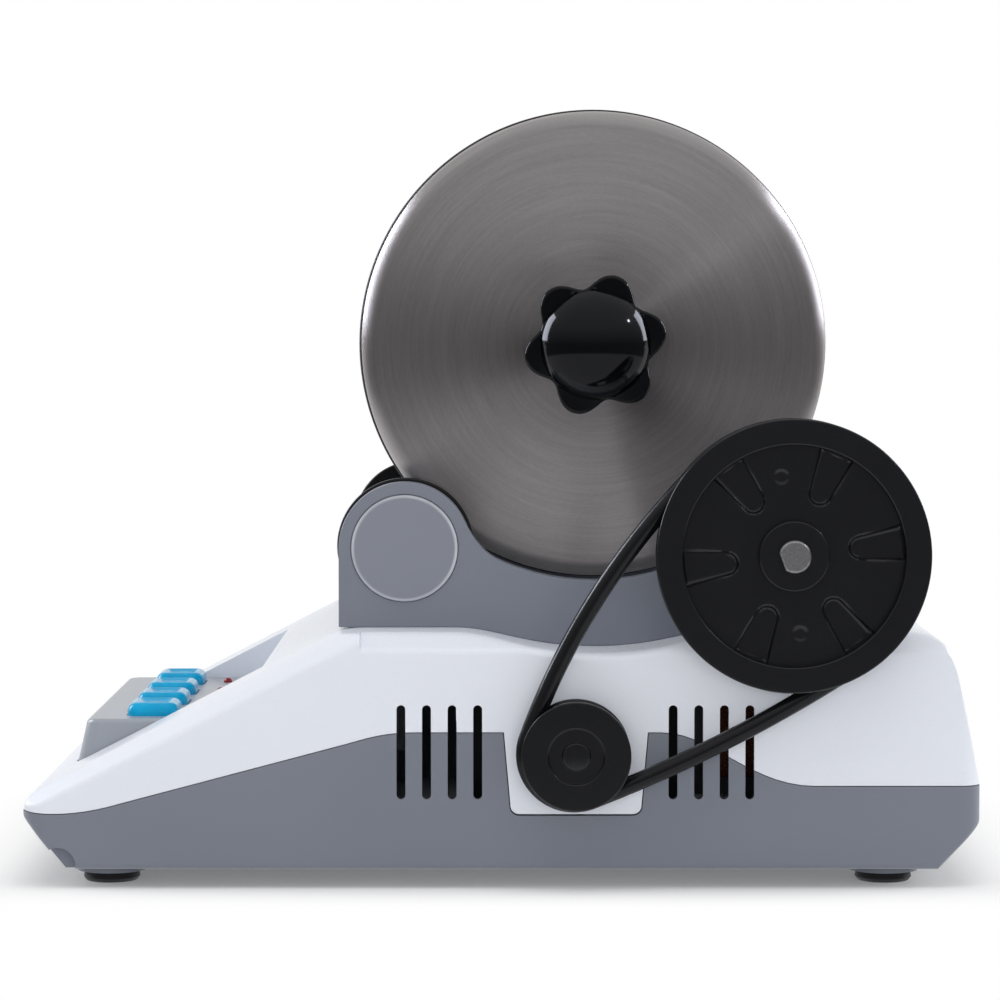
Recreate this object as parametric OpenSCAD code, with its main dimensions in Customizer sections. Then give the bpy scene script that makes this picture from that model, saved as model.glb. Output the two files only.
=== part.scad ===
// Drum tumbler for polishing stones and jewellery: a rubber barrel with a steel lid lies on two
// rollers above a two-part housing. A motor in the housing turns the rear roller through a round belt.
// X runs from the front of the machine to its rear, Y from the belt side to the far side, Z up.

/* [Housing] */
// Length of the housing, front to rear
base_l = 301; // [290:1:310]
// Width of the housing between its side faces
base_w = 206; // [200:1:212]
// Thickness of the moulded walls
wall = 2.5; // [2:0.1:3]
// Height of the flat part of the roof above the bench
roof_z = 80; // [78:0.5:82]

/* [Drum] */
// Outer radius of the rubber barrel
drum_r = 76.1; // [72:0.1:77]
// Length of the closed drum
drum_l = 127; // [120:0.5:128]
// Thickness of the barrel wall
barrel_wall = 8; // [6:0.5:9]

/* [Rollers] */
// Radius of the rubber roller sleeves
roller_r = 12.4; // [11:0.1:13]
// Distance between the two roller axes
roller_gap = 121.2; // [118:0.2:124]
// Height of the roller axes above the bench
roller_z = 105.3; // [104:0.1:107]
// Radius of the disc flanges that keep the drum in place
flange_r = 22; // [20:0.5:23]
// Radius of the roller shafts
shaft_r = 5; // [4.5:0.1:5.5]

/* [Belt drive] */
// Outer radius of the driven pulley
big_r = 42.4; // [40:0.1:43]
// Outer radius of the motor pulley
small_r = 17; // [16.5:0.1:18]
// Diameter of the round belt
belt_d = 5.6; // [5:0.1:5.7]

/* [Hidden] */
$fn = 96;

// Housing outline.
half_l = base_l / 2;
half_w = base_w / 2;
floor_z = 6;
nose_z = 24.4;
rear_seam_z = 32.5;
mid_seam_z = 49.3;
rear_corner_r = 6.5;
front_corner_r = 8;
fit_gap = 0.2;
shoulder_w = 8;
shoulder_h = 5;
slope_deg = 27.1;

// Drum and rollers.
cradle_x = 29.8;
front_x = cradle_x - roller_gap / 2;
rear_x = cradle_x + roller_gap / 2;
contact_gap = 0.3;
axis_gap = drum_r + roller_r + contact_gap;
drum_z = roller_z + sqrt(axis_gap * axis_gap - roller_gap * roller_gap / 4);
drum_y0 = -drum_l / 2;
drum_y1 = drum_l / 2;
lid_r = 74.9;
lid_t = 1;
lid_skirt = 15;
lid_edge_r = 5;
neck_r = lid_r - lid_t;
mouth_r = 66;
seal_t = 8;
stud_r = 4;
stud_end = 12;
knob_y1 = drum_y0 - 1.1;

// Cradle brackets.
bracket_y0 = -78;
bracket_y1 = -70;
boss_r = 21.05;
cap_r = 17;
cap_step = 1;
bush_r = 8;
run_gap = 0.05;
flange_t = 2.5;
flange_y = 65;
sleeve_y = 64.6;

// Belt drive.
belt_y = -111.5;
pulley_w = 11;
belt_r = belt_d / 2;
big_belt_r = 39.4;
small_belt_r = 15.3;
small_belt_shift = [-0.6, 0.2];
slack_radius = 230;
tight_radius = 445;
motor_x = 23.3;
motor_z = 43.2;
shaft_end_y = -119.5;
belt_side_reach = -shaft_end_y;
// The box of the whole machine is centred on the origin, so the mid-plane of the housing lies aside.
mid_y = (belt_side_reach - half_w) / 2;

// Console.
console_z = 49.3;
console_x0 = -137.3;
console_x1 = -85.8;
console_w = 133.6;
console_t = 2.2;
button_x = -113.5;
button_l = 16.8;
button_w = 20;
button_h = 4.2;
button_pitch = 32.2;
led_x = -97;
board_z = 37;
board_t = 1.6;

// Feet.
foot_x0 = -124;
foot_x1 = 121.7;
foot_y = 83;
foot_r = 9;
foot_h = 3.4;

// Vents.
vent_w = 2.8;
vent_pitch = 8;
vent_z0 = 28.2;
vent_z1 = 57.8;
vent_groups = [-31.3, 53.8];

function arc(c, r, a0, a1, n) =
    [for (i = [0:n]) c + r * [cos(a0 + (a1 - a0) * i / n), sin(a0 + (a1 - a0) * i / n)]];
function bezier(p, n) = [for (i = [0:n]) let (t = i / n, u = 1 - t)
    u * u * u * p[0] + 3 * u * u * t * p[1] + 3 * u * t * t * p[2] + t * t * t * p[3]];
function mirrored(points, x) = [for (i = [len(points) - 1:-1:0]) [2 * x - points[i][0], points[i][1]]];
function lowered(points, d) = [for (p = points) [p[0], p[1] - d]];

// Half of the dip that the roof makes under the drum, from its flat part to the middle.
roof_dip = bezier([[-14, roof_z], [-2, roof_z], [8, roof_z - 6], [cradle_x, roof_z - 6]], 14);
roof_middle = concat(roof_dip, [for (p = mirrored(roof_dip, cradle_x)) p]);
roof_line = concat(
    bezier([[-half_l, nose_z], [-half_l + 0.5, nose_z + 4.8], [-half_l + 7, nose_z + 8],
        [-half_l + 14.5, nose_z + 11.4]], 12),
    bezier([[-58, 76.1], [-53.4, 78.5], [-50, roof_z], [-44, roof_z]], 10),
    roof_middle,
    bezier([[128, roof_z], [137, roof_z], [141, 77], [143, 68]], 12),
    [[half_l, rear_seam_z]]);
seam_front = bezier([[-half_l, nose_z], [-half_l + 12, 22.6], [-half_l + 22, 24.2], [-119.6, 26.8]], 10);
seam_rise = bezier([[-52, 44.7], [-42, 47.3], [-38, mid_seam_z], [-26, mid_seam_z]], 8);
seam_fall = bezier([[50, mid_seam_z], [66, mid_seam_z], [78, rear_seam_z], [98, rear_seam_z]], 12);
seam_line = concat(seam_front, seam_rise, seam_fall, [[half_l, rear_seam_z]]);
pan_bottom = [[half_l, 20], [half_l - 13.5, floor_z], [-half_l + 13.6, floor_z], [-half_l, 22.4]];

// A flat outline in X and Z, drawn out from y0 to y1.
module along_y(y0, y1) {
    translate([0, y1, 0])
        rotate([90, 0, 0])
            linear_extrude(y1 - y0)
                children();
}

// A round bar along Y.
module bar_y(x, z, r, y0, y1) {
    translate([x, y0, z])
        rotate([-90, 0, 0])
            cylinder(r = r, h = y1 - y0);
}

// A body turned about a line along Y, from an outline of radius and Y.
module turned_y(x, z) {
    translate([x, 0, z])
        rotate([-90, 0, 0])
            rotate_extrude()
                children();
}

// The housing seen from above, shrunk by d all round, between two heights.
module plan_block(d, z0, z1) {
    r1 = rear_corner_r - min(d, 2.5);
    r0 = front_corner_r - min(d, 2.5);
    translate([0, 0, z0])
        linear_extrude(z1 - z0)
            union() {
                translate([-half_l + d + r0, -half_w + d])
                    square([base_l - 2 * d - r0 - r1, base_w - 2 * d]);
                translate([-half_l + d, -half_w + d + r0])
                    square([base_l - 2 * d, base_w - 2 * d - 2 * r0]);
                translate([half_l - d - r0 - 1, -half_w + d + r1])
                    square([r0 + 1, base_w - 2 * d - 2 * r1]);
                for (s = [-1, 1]) {
                    translate([-half_l + d + r0, s * (half_w - d - r0)])
                        circle(r = r0);
                    translate([half_l - d - r1, s * (half_w - d - r1)])
                        circle(r = r1);
                }
            }
}

// One row of four slots through a side wall.
module vents(y0, y1) {
    for (x0 = vent_groups, i = [0:3])
        along_y(y0, y1)
            union() {
                translate([x0 + i * vent_pitch - vent_w / 2, vent_z0 + vent_w / 2])
                    square([vent_w, vent_z1 - vent_z0 - vent_w]);
                translate([x0 + i * vent_pitch, vent_z0 + vent_w / 2])
                    circle(d = vent_w);
                translate([x0 + i * vent_pitch, vent_z1 - vent_w / 2])
                    circle(d = vent_w);
            }
}

module all_vents() {
    vents(-half_w - 1, -half_w + wall + 1);
    vents(half_w - wall - 1, half_w + 1);
}

// The tongue of the top cover that reaches down around the motor shaft, grown by d.
module tongue(d) {
    polygon(concat(
        [[0.9 - d, mid_seam_z + 1], [2.9 - d, 27]],
        arc([5.7, 26.4], 2.8 + d, 180, 270, 5),
        arc([41.2, 26.4], 2.8 + d, 270, 360, 5),
        [[45.9 + d, mid_seam_z + 1]]));
}

// Ring-shaped finger notch under each front corner.
notch_x = -138.9;
notch_z = 7.4;
notch_r = 5.5;
notch_depth = 5;
module notches(r, depth) {
    for (s = [-1, 1])
        bar_y(notch_x, notch_z, r, s > 0 ? half_w - depth : -half_w - 1, s > 0 ? half_w + 1 : -half_w + depth);
}

screw_posts = [[-112, 92], [-39, 92], [108, 92], [-112, -92], [-39, -92], [108, -92]];
post_r = 4;
screw_r = 1.5;
motor_feet = [[5, -97], [42, -97]];

module base_pan() color("slategray") {
    difference() {
        union() {
            difference() {
                intersection() {
                    along_y(-half_w, half_w)
                        polygon(concat(seam_line, pan_bottom));
                    plan_block(0, 0, 60);
                }
                difference() {
                    intersection() {
                        along_y(-half_w, half_w)
                            polygon(concat(
                                [[-half_l + 3.4, 60], [-half_l + 3.4, 22.4], [-half_l + 14.8, floor_z + wall]],
                                [[half_l - 15, floor_z + wall], [half_l - wall, 20.2], [half_l - wall, 60]]));
                        plan_block(wall, floor_z + wall, 60);
                    }
                    notches(notch_r + 2, notch_depth + 2);
                }
                notches(notch_r, notch_depth);
                along_y(-half_w - 1, -half_w + wall + 1)
                    tongue(fit_gap);
                all_vents();
            }
            for (x = [foot_x0, foot_x1], y = [-foot_y, foot_y])
                translate([x, y, foot_h])
                    cylinder(r = foot_r + 2, h = floor_z - foot_h + wall + 3);
            for (p = screw_posts)
                translate([p[0], p[1], floor_z + wall - 0.5])
                    cylinder(r = post_r, h = 12);
            for (p = motor_feet)
                translate([p[0] - 5, p[1] + 3, floor_z + wall - 0.5])
                    cube([10, 12, 8]);
            for (x = [console_x0 + 5, console_x1 - 3], s = [-1, 1])
                translate([x, s * (console_w / 2 - 4), floor_z + wall - 0.5])
                    cylinder(r = post_r, h = 33 - floor_z - wall + 0.5);
            translate([tr_x + 2, tr_y + 7, floor_z + wall - 0.5])
                cube([26, 14, tr_z - floor_z - wall + 0.5]);
        }
        for (x = [foot_x0, foot_x1], y = [-foot_y, foot_y])
            translate([x, y, 0])
                cylinder(r = screw_r, h = 11);
        for (p = screw_posts) {
            translate([p[0], p[1], floor_z - 1])
                cylinder(r = screw_r + 0.3, h = 15);
            translate([p[0], p[1], floor_z - 1])
                cylinder(r = 3.2, h = 4);
        }
        translate([half_l - 4, gland_y, gland_z])
            rotate([0, 90, 0])
                cylinder(r = gland_neck_r, h = 6);
        translate([half_l - 1.5, gland_y, gland_z])
            rotate([0, 90, 0])
                cylinder(r = gland_r + 0.1, h = 3);
    }
}

module shoulder_cuts() {
    for (s = [-1, 1]) {
        translate([-57, 0, roof_z])
            shoulder_prism(s, 212, 0);
        translate([-57, 0, roof_z - 3.6])
            rotate([0, -slope_deg, 0])
                translate([-140, 0, 0])
                    shoulder_prism(s, 142, 0);
    }
}

module shoulder_prism(s, length, z) {
    rotate([90, 0, 90])
        linear_extrude(length)
            polygon([[s * (half_w + 1), z - shoulder_h - 0.6], [s * (half_w - shoulder_w), z + 0.02],
                [s * (half_w - shoulder_w), z + 9], [s * (half_w + 1), z + 9]]);
}

module console_outline(d, z0, z1) {
    r = 5;
    translate([0, 0, z0])
        linear_extrude(z1 - z0)
            union() {
                translate([console_x0 - d + r, -console_w / 2 - d])
                    square([console_x1 - console_x0 + 2 * d - 2 * r, console_w + 2 * d]);
                translate([console_x0 - d, -console_w / 2 - d + r])
                    square([console_x1 - console_x0 + 2 * d, console_w + 2 * d - 2 * r]);
                for (x = [console_x0 - d + r, console_x1 + d - r], s = [-1, 1])
                    translate([x, s * (console_w / 2 + d - r)])
                        circle(r = r);
            }
}

module roof_solid(d) {
    intersection() {
        along_y(-half_w, half_w)
            polygon(concat(lowered(roof_line, d), [[half_l, 10], [-half_l, 10]]));
        plan_block(0, 0, 90);
    }
}

// The end of the console's pocket leans back up to the roof.
module pocket_end(back, side) {
    along_y(-console_w / 2 - side, console_w / 2 + side)
        polygon([[console_x1 - 4, console_z + 0.3 - 2 * back], [console_x1 + 0.3 + back, console_z + 0.3 - 2 * back],
            [console_x1 + 10 + back, 68.5], [console_x1 + 10 + back, 90], [console_x1 - 4, 90]]);
}

bracket_holes = [-40, 100];

module top_cover() color("white") {
    difference() {
        union() {
            difference() {
                intersection() {
                    along_y(-half_w, half_w)
                        polygon(concat(roof_line, [for (i = [len(seam_line) - 2:-1:1]) seam_line[i]]));
                    plan_block(0, 0, 90);
                }
                shoulder_cuts();
                difference() {
                    intersection() {
                        along_y(-half_w + wall, half_w - wall)
                            polygon(concat(
                                [[-half_l + 3.4, 15]],
                                [for (p = roof_line) if (p[0] > -half_l + 3.4 && p[0] < 140)
                                    [p[0], p[1] - wall - 0.2]],
                                [[half_l - 9.5, 66], [half_l - wall - 0.3, 15]]));
                        plan_block(wall, 0, 90);
                        union() {
                            along_y(-half_w + shoulder_w + 1, half_w - shoulder_w - 1)
                                square([400, 200], center = true);
                            along_y(-half_w + wall, half_w - wall)
                                polygon(concat(lowered(roof_line, shoulder_h + wall + 0.8),
                                    [[half_l, 0], [-half_l, 0]]));
                        }
                    }
                    // The pocket walls around the console hang from the roof.
                    console_outline(2.4, 42, 90);
                    pocket_end(2.6, 2.7);
                }
                console_outline(0.3, 0, 90);
                pocket_end(0, 0.3);
            }
            along_y(-half_w, -half_w + wall)
                tongue(0);
            for (p = screw_posts)
                if (p[0] > -40)
                    translate([p[0], p[1], floor_z + wall + 11.6])
                        cylinder(r = post_r, h = 54.5);
        }
        for (p = screw_posts)
            if (p[0] > -40)
                translate([p[0], p[1], floor_z + wall + 11])
                    cylinder(r = screw_r, h = 12);
        for (x = bracket_holes, s = [-1, 1])
            translate([x, s * (bracket_y0 + 4), 60])
                cylinder(r = 1.7, h = 30);
        bar_y(motor_x, motor_z, 6, -half_w - 1, -half_w + wall + 1);
        all_vents();
    }
}

// Positions along Y of the four buttons and their lamps.
function key_y(i) = (i - 1.5) * button_pitch;

module rounded_key(grow, z0, z1, r) {
    l = button_l + 2 * grow;
    w = button_w + 2 * grow;
    translate([button_x, 0, z0])
        linear_extrude(z1 - z0)
            union() {
                square([l - 2 * r, w], center = true);
                square([l, w - 2 * r], center = true);
                for (sx = [-1, 1], sy = [-1, 1])
                    translate([sx * (l / 2 - r), sy * (w / 2 - r)])
                        circle(r = r);
            }
}

module control_console() color("darkgray") {
    difference() {
        union() {
            console_shell();
            for (p = board_posts)
                translate([p[0], p[1], board_z + board_t])
                    cylinder(r = 3, h = console_z - console_t / 2 - board_z - board_t);
        }
        for (i = [0:3]) {
            translate([0, key_y(i), 0])
                rounded_key(fit_gap, console_z - 5, console_z + 5, 4.2);
            translate([led_x, key_y(i), console_z - 5])
                cylinder(r = 1.65, h = 10);
        }
        for (p = board_posts)
            translate([p[0], p[1], board_z])
                cylinder(r = 1.4, h = 8);
    }
}

module console_shell() {
    difference() {
        intersection() {
            along_y(-console_w / 2, console_w / 2)
                polygon([[console_x0, 33], [console_x0 + 0.4, 36], [console_x0 + 3.4, console_z],
                    [console_x1, console_z], [console_x1, 33]]);
            console_outline(0, 30, 60);
        }
        intersection() {
            along_y(-console_w / 2 + console_t, console_w / 2 - console_t)
                polygon([[console_x0 + 3, 32], [console_x0 + 6, console_z - console_t],
                    [console_x1 - console_t, console_z - console_t], [console_x1 - console_t, 32]]);
            console_outline(-console_t, 30, 60);
        }
    }
}

module key_button(i) color("deepskyblue") {
    translate([0, key_y(i), 0])
        union() {
            rounded_key(0, console_z - console_t - 0.3, console_z + button_h - 1.6, 4);
            rounded_key(-1.1, console_z + button_h - 1.7, console_z + button_h, 3.4);
            rounded_key(1, console_z - console_t - 1.6, console_z - console_t - 0.25, 4);
            translate([button_x, 0, board_z + board_t + 4.55])
                cylinder(r = 2.4, h = 5);
        }
}

module indicator_leds() color("crimson") {
    for (i = [0:3])
        translate([led_x, key_y(i), board_z + board_t]) {
            cylinder(r = 1.5, h = console_z - board_z - board_t + 0.2);
            translate([0, 0, console_z - board_z - board_t + 0.15])
                intersection() {
                    sphere(r = 1.5);
                    translate([-2, -2, 0])
                        cube(4);
                }
        }
}

board_posts = [[-126, -60], [-126, 60], [-91, -60], [-91, 60]];

module control_board() color("darkgreen") {
    difference() {
        translate([-130, -63.5, board_z])
            cube([41, 127, board_t]);
        for (p = board_posts)
            translate([p[0], p[1], board_z - 1])
                cylinder(r = 1.6, h = 4);
    }
}

module key_switches() color("dimgray") {
    for (i = [0:3])
        translate([button_x, key_y(i), board_z + board_t]) {
            translate([-3, -3, 0])
                cube([6, 6, 2.2]);
            translate([0, 0, 2.1])
                cylinder(r = 1.7, h = 0.8);
        }
}

module board_screws() color("silver") {
    for (p = board_posts)
        translate([p[0], p[1], board_z - 3]) {
            translate([0, 0, 1])
                cylinder(r = 2.8, h = 2);
            translate([0, 0, 2.9])
                cylinder(r = 1.4, h = 5.7);
        }
}

bracket_half = concat(
    [[front_x - boss_r, roof_z]],
    arc([front_x, roller_z], boss_r, 180, 24, 26),
    bezier([[front_x + boss_r * cos(24), roller_z + boss_r * sin(24)], [-8.75, 107.5], [-4.6, 103],
        [0, drum_z - sqrt(75.2 * 75.2 - cradle_x * cradle_x)]], 6),
    arc([cradle_x, drum_z], 75.2, 248, 270, 8));
bracket_outline = concat(bracket_half, mirrored(bracket_half, cradle_x),
    [for (i = [len(roof_middle) - 1:-1:0]) roof_middle[i]]);

// A cradle bracket, drawn for the belt side. The far one is its mirror image.
module bracket() {
    difference() {
        along_y(bracket_y0, bracket_y1)
            polygon(bracket_outline);
        for (x = [front_x, rear_x])
            bar_y(x, roller_z, bush_r, bracket_y0 - 1, bracket_y1 + 1);
        for (x = bracket_holes)
            translate([x, bracket_y0 + 4, roof_z - 1])
                cylinder(r = 1.5, h = 13);
    }
}

module belt_side_bracket() color("gray") {
    difference() {
        bracket();
        bar_y(front_x, roller_z, cap_r + 0.1, bracket_y0 - 1, bracket_y0 + cap_step);
    }
}

module far_side_bracket() color("gray") {
    difference() {
        mirror([0, 1, 0])
            bracket();
        for (x = [front_x, rear_x])
            bar_y(x, roller_z, cap_r + 0.1, -bracket_y0 - cap_step, -bracket_y0 + 1);
    }
}

cap_t = 1.9;
module bearing_caps() color("darkgray") {
    bar_y(front_x, roller_z, cap_r, bracket_y0 + cap_step - cap_t, bracket_y0 + cap_step);
    for (x = [front_x, rear_x])
        bar_y(x, roller_z, cap_r, -bracket_y0 - cap_step, -bracket_y0 - cap_step + cap_t);
}

bush_flange_t = 1.3;
module shaft_bushes() color("peru") {
    for (x = [front_x, rear_x], s = [-1, 1])
        difference() {
            union() {
                bar_y(x, roller_z, bush_r, s > 0 ? -bracket_y1 : bracket_y0 + cap_step,
                    s > 0 ? -bracket_y0 - cap_step : bracket_y1);
                bar_y(x, roller_z, bush_r + 2, s > 0 ? -bracket_y1 - bush_flange_t : bracket_y1,
                    s > 0 ? -bracket_y1 : bracket_y1 + bush_flange_t);
            }
            bar_y(x, roller_z, shaft_r + run_gap, -half_w, half_w);
        }
}

// One roller: its sleeve and its two flanges sit on the shaft.
module roller_sleeve(x) color("black") {
    difference() {
        bar_y(x, roller_z, roller_r, -sleeve_y, sleeve_y);
        bar_y(x, roller_z, shaft_r, -half_w, half_w);
    }
}

module roller_flanges(x) color("black") {
    for (s = [-1, 1])
        difference() {
            union() {
                bar_y(x, roller_z, flange_r, s > 0 ? flange_y : -flange_y - flange_t,
                    s > 0 ? flange_y + flange_t : -flange_y);
                bar_y(x, roller_z, 9, s > 0 ? flange_y + flange_t - 0.1 : -flange_y - flange_t - 0.6,
                    s > 0 ? flange_y + flange_t + 0.6 : -flange_y - flange_t + 0.1);
            }
            bar_y(x, roller_z, shaft_r, -half_w, half_w);
        }
}

clip_t = 0.35;
module roller_clips(x) color("silver") {
    for (s = [-1, 1])
        difference() {
            bar_y(x, roller_z, 8.2, s * sleeve_y + (s > 0 ? 0 : -clip_t), s * sleeve_y + (s > 0 ? clip_t : 0));
            bar_y(x, roller_z, shaft_r, -half_w, half_w);
        }
}

shaft_in = 76.4;
module front_roller_shaft() color("silver") {
    bar_y(front_x, roller_z, shaft_r, -shaft_in, shaft_in);
}

flat_deg = 200;
flat_depth = 4.1;
module rear_roller_shaft() color("silver") {
    difference() {
        bar_y(rear_x, roller_z, shaft_r, shaft_end_y, shaft_in);
        translate([rear_x, shaft_end_y - 1, roller_z])
            rotate([0, -flat_deg, 0])
                translate([flat_depth, 0, -10])
                    cube([10, 16.5, 20]);
    }
}

// Outline of a grooved pulley rim, from radius r_in to r_out, with the groove bottom at r_groove.
function rim_outline(r_in, r_out, r_groove, w) = [
    [r_in, -w / 2], [r_out, -w / 2], [r_out, -groove_top], [r_groove, -groove_bottom],
    [r_groove, groove_bottom], [r_out, groove_top], [r_out, w / 2], [r_in, w / 2]];
groove_bottom = 2.3;
groove_top = 4.2;
groove_gap = 0.3;
ring_r = 34.4;
hub_r = 10.9;
web_t = 4;
spoke_deg = 7;

// The shallow tapered pocket between two ribs of the driven pulley.
module spoke_pocket() {
    union() {
        translate([20.7, 0])
            circle(r = 3.3);
        polygon([[20.3, -3.3], [ring_r - 0.9, -5.2], [ring_r - 0.9, 5.2], [20.3, 3.3]]);
    }
}

module driven_pulley() color("black") {
    difference() {
        union() {
            translate([0, belt_y, 0])
                turned_y(rear_x, roller_z)
                    polygon(rim_outline(ring_r, big_r, big_belt_r - belt_r - groove_gap, pulley_w));
            bar_y(rear_x, roller_z, ring_r + 0.5, belt_y - web_t / 2, belt_y + web_t / 2);
            bar_y(rear_x, roller_z, hub_r, belt_y - 5.3, belt_y + pulley_w / 2 + 1);
        }
        for (i = [0:5])
            translate([rear_x, 0, roller_z])
                rotate([0, -spoke_deg - 60 * i, 0])
                    along_y(belt_y - web_t, belt_y - web_t / 2 + 1.2)
                        spoke_pocket();
        difference() {
            bar_y(rear_x, roller_z, shaft_r, -130, -90);
            translate([rear_x, -130, roller_z])
                rotate([0, -flat_deg, 0])
                    translate([flat_depth, 0, -10])
                        cube([10, 26.5, 20]);
        }
    }
}

small_hub_r = 4.4;
small_ring_r = 8.6;
motor_shaft_r = 3;
motor_shaft_y0 = -113;
module motor_pulley() color("black") {
    difference() {
        translate([0, belt_y, 0])
            turned_y(motor_x, motor_z)
                polygon(rim_outline(0, small_r, small_belt_r - norm(small_belt_shift) - belt_r - groove_gap, pulley_w));
        difference() {
            bar_y(motor_x, motor_z, small_ring_r, belt_y - 10, belt_y - pulley_w / 2 + 1.6);
            bar_y(motor_x, motor_z, small_hub_r, belt_y - pulley_w / 2 + 0.4, belt_y);
        }
        bar_y(motor_x, motor_z, motor_shaft_r, motor_shaft_y0, -90);
    }
}

// The stiff round belt bows outwards between the pulleys: four arcs that meet without a corner.
big_centre = [rear_x, roller_z];
small_centre = [motor_x, motor_z] + small_belt_shift;
// The bowed spans enter the pulley arcs and are a hair thinner there.
joint_step = 0.03;

// Centre of the arc of radius r that touches both pulley arcs from outside, on one side of the belt.
function span_centre(r, side) = let (
        to_big = r - big_belt_r, to_small = r - small_belt_r,
        gap = norm(small_centre - big_centre),
        along = (small_centre - big_centre) / gap,
        step = (to_big * to_big - to_small * to_small + gap * gap) / (2 * gap))
    big_centre + step * along + side * sqrt(to_big * to_big - step * step) * [-along[1], along[0]];
function heading(from, to) = atan2(to[1] - from[1], to[0] - from[0]);

slack_centre = span_centre(slack_radius, 1);
tight_centre = span_centre(tight_radius, -1);

module belt_arc(centre, r, a0, a1, thick) {
    sweep = a1 - a0;
    intersection() {
        translate([centre[0], centre[1], 0])
            rotate_extrude($fn = r > 100 ? 360 : $fn)
                translate([r, 0])
                    circle(r = thick);
        translate([centre[0], centre[1], -belt_d])
            linear_extrude(2 * belt_d)
                polygon(concat([[0, 0]],
                    [for (i = [0:4]) 1.5 * r * [cos(a0 + sweep * i / 4), sin(a0 + sweep * i / 4)]]));
    }
}

module belt_span(centre, r) {
    a = heading(centre, big_centre);
    b = heading(centre, small_centre);
    lap = 18 / r;
    belt_arc(centre, r, min(a, b) - lap, max(a, b) + lap, belt_r - joint_step);
}

module drive_belt() color("black") {
    translate([0, belt_y, 0])
        rotate([90, 0, 0])
            union() {
                belt_arc(big_centre, big_belt_r, heading(tight_centre, big_centre),
                    heading(slack_centre, big_centre), belt_r);
                belt_arc(small_centre, small_belt_r, heading(slack_centre, small_centre),
                    heading(tight_centre, small_centre) + 360, belt_r);
                belt_span(slack_centre, slack_radius);
                belt_span(tight_centre, tight_radius);
            }
}

// Motor: a square stack of steel sheets with a coil at each end, a rotor inside it, two plates.
stack = 50;
stack_y0 = -80;
stack_y1 = -52;
rotor_r = 13;
motor_bolts = [[-20, -20], [20, -20], [-20, 20], [20, 20]];

module motor_square(size, y0, y1) {
    translate([motor_x - size / 2, y0, motor_z - size / 2])
        cube([size, y1 - y0, size]);
}

module bolt_holes(r) {
    for (p = motor_bolts)
        bar_y(motor_x + p[0], motor_z + p[1], r, -99, -30);
}

module motor_stator() color("gray") {
    difference() {
        motor_square(stack, stack_y0, stack_y1);
        bar_y(motor_x, motor_z, rotor_r + 0.4, -99, -30);
        bolt_holes(1.7);
    }
}

module motor_windings() color("chocolate") {
    for (y = [stack_y0 - 7, stack_y1])
        difference() {
            bar_y(motor_x, motor_z, 21, y, y + 7);
            bar_y(motor_x, motor_z, 14.5, y - 1, y + 8);
        }
}

module motor_rotor() color("silver") {
    difference() {
        bar_y(motor_x, motor_z, rotor_r, stack_y0 - 1, stack_y1 + 1);
        bar_y(motor_x, motor_z, motor_shaft_r, -99, -30);
    }
}

module motor_shaft() color("silver") {
    bar_y(motor_x, motor_z, motor_shaft_r, motor_shaft_y0, -39);
}

module end_plate(y0, y1) {
    difference() {
        motor_square(stack, y0, y1);
        bar_y(motor_x, motor_z, motor_shaft_r + run_gap, -99, -30);
        bolt_holes(1.7);
    }
}

module motor_front_plate() color("lightgray") {
    end_plate(-90, -87.1);
}

module motor_rear_plate() color("lightgray") {
    end_plate(-44.9, -42);
}

module motor_screws() color("silver") {
    for (p = motor_bolts) {
        bar_y(motor_x + p[0], motor_z + p[1], 1.6, -95, -42);
        bar_y(motor_x + p[0], motor_z + p[1], 3, -42, -39.6);
    }
}

// The plate that carries the motor stands on two pads behind the side wall.
module motor_mount() color("lightgray") {
    difference() {
        union() {
            translate([motor_x - 35, -92, floor_z + wall + 7.5])
                cube([70, 2, 54]);
            translate([motor_x - 29, -94, floor_z + wall + 7.5])
                cube([58, 12, 1.6]);
        }
        bar_y(motor_x, motor_z, 8, -99, -80);
        bolt_holes(1.7);
    }
}

tr_x = 60;
tr_y = -84;
tr_z = 26.6;
module transformer_core() color("gray") {
    difference() {
        translate([tr_x, tr_y + 6, tr_z])
            cube([30, 16, 36]);
        translate([tr_x + 5, tr_y + 5, tr_z + 6])
            cube([20, 18, 24]);
    }
}

module transformer_coil() color("sienna") {
    difference() {
        translate([tr_x + 5.2, tr_y, tr_z + 6.2])
            cube([19.6, 28, 23.6]);
        translate([tr_x + 10, tr_y + 6, tr_z + 10])
            cube([10, 16, 16]);
    }
}

gland_y = 60;
gland_z = 26;
gland_r = 6;
gland_neck_r = 4.6;
gland_bore_r = 3.4;
module cord_gland() color("black") {
    translate([half_l, gland_y, gland_z])
        rotate([0, -90, 0])
            difference() {
                union() {
                    cylinder(r = gland_r, h = 1.5);
                    cylinder(r = gland_neck_r, h = wall + 0.5);
                    translate([0, 0, wall + 0.2])
                        cylinder(r = gland_r - 0.4, h = 5);
                }
                translate([0, 0, -1])
                    cylinder(r = gland_bore_r, h = 12);
            }
}

module foot(x, y) color("black") {
    translate([x, y, 0])
        difference() {
            cylinder(r = foot_r, h = foot_h);
            translate([0, 0, 1.4])
                cylinder(r = screw_r + 0.1, h = 4);
            translate([0, 0, -1])
                cylinder(r = 3.4, h = 2.6);
        }
}

module foot_screws() color("silver") {
    for (x = [foot_x0, foot_x1], y = [-foot_y, foot_y])
        translate([x, y, 0]) {
            translate([0, 0, 0.4])
                cylinder(r = 3.1, h = 1.2);
            translate([0, 0, 1.5])
                cylinder(r = screw_r, h = 9);
        }
}

module housing_screws() color("silver") {
    for (p = screw_posts)
        translate([p[0], p[1], floor_z + 0.4]) {
            cylinder(r = 3, h = 2.6);
            translate([0, 0, 2.5])
                cylinder(r = screw_r, h = p[0] > -40 ? 18 : 11);
        }
}

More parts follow.
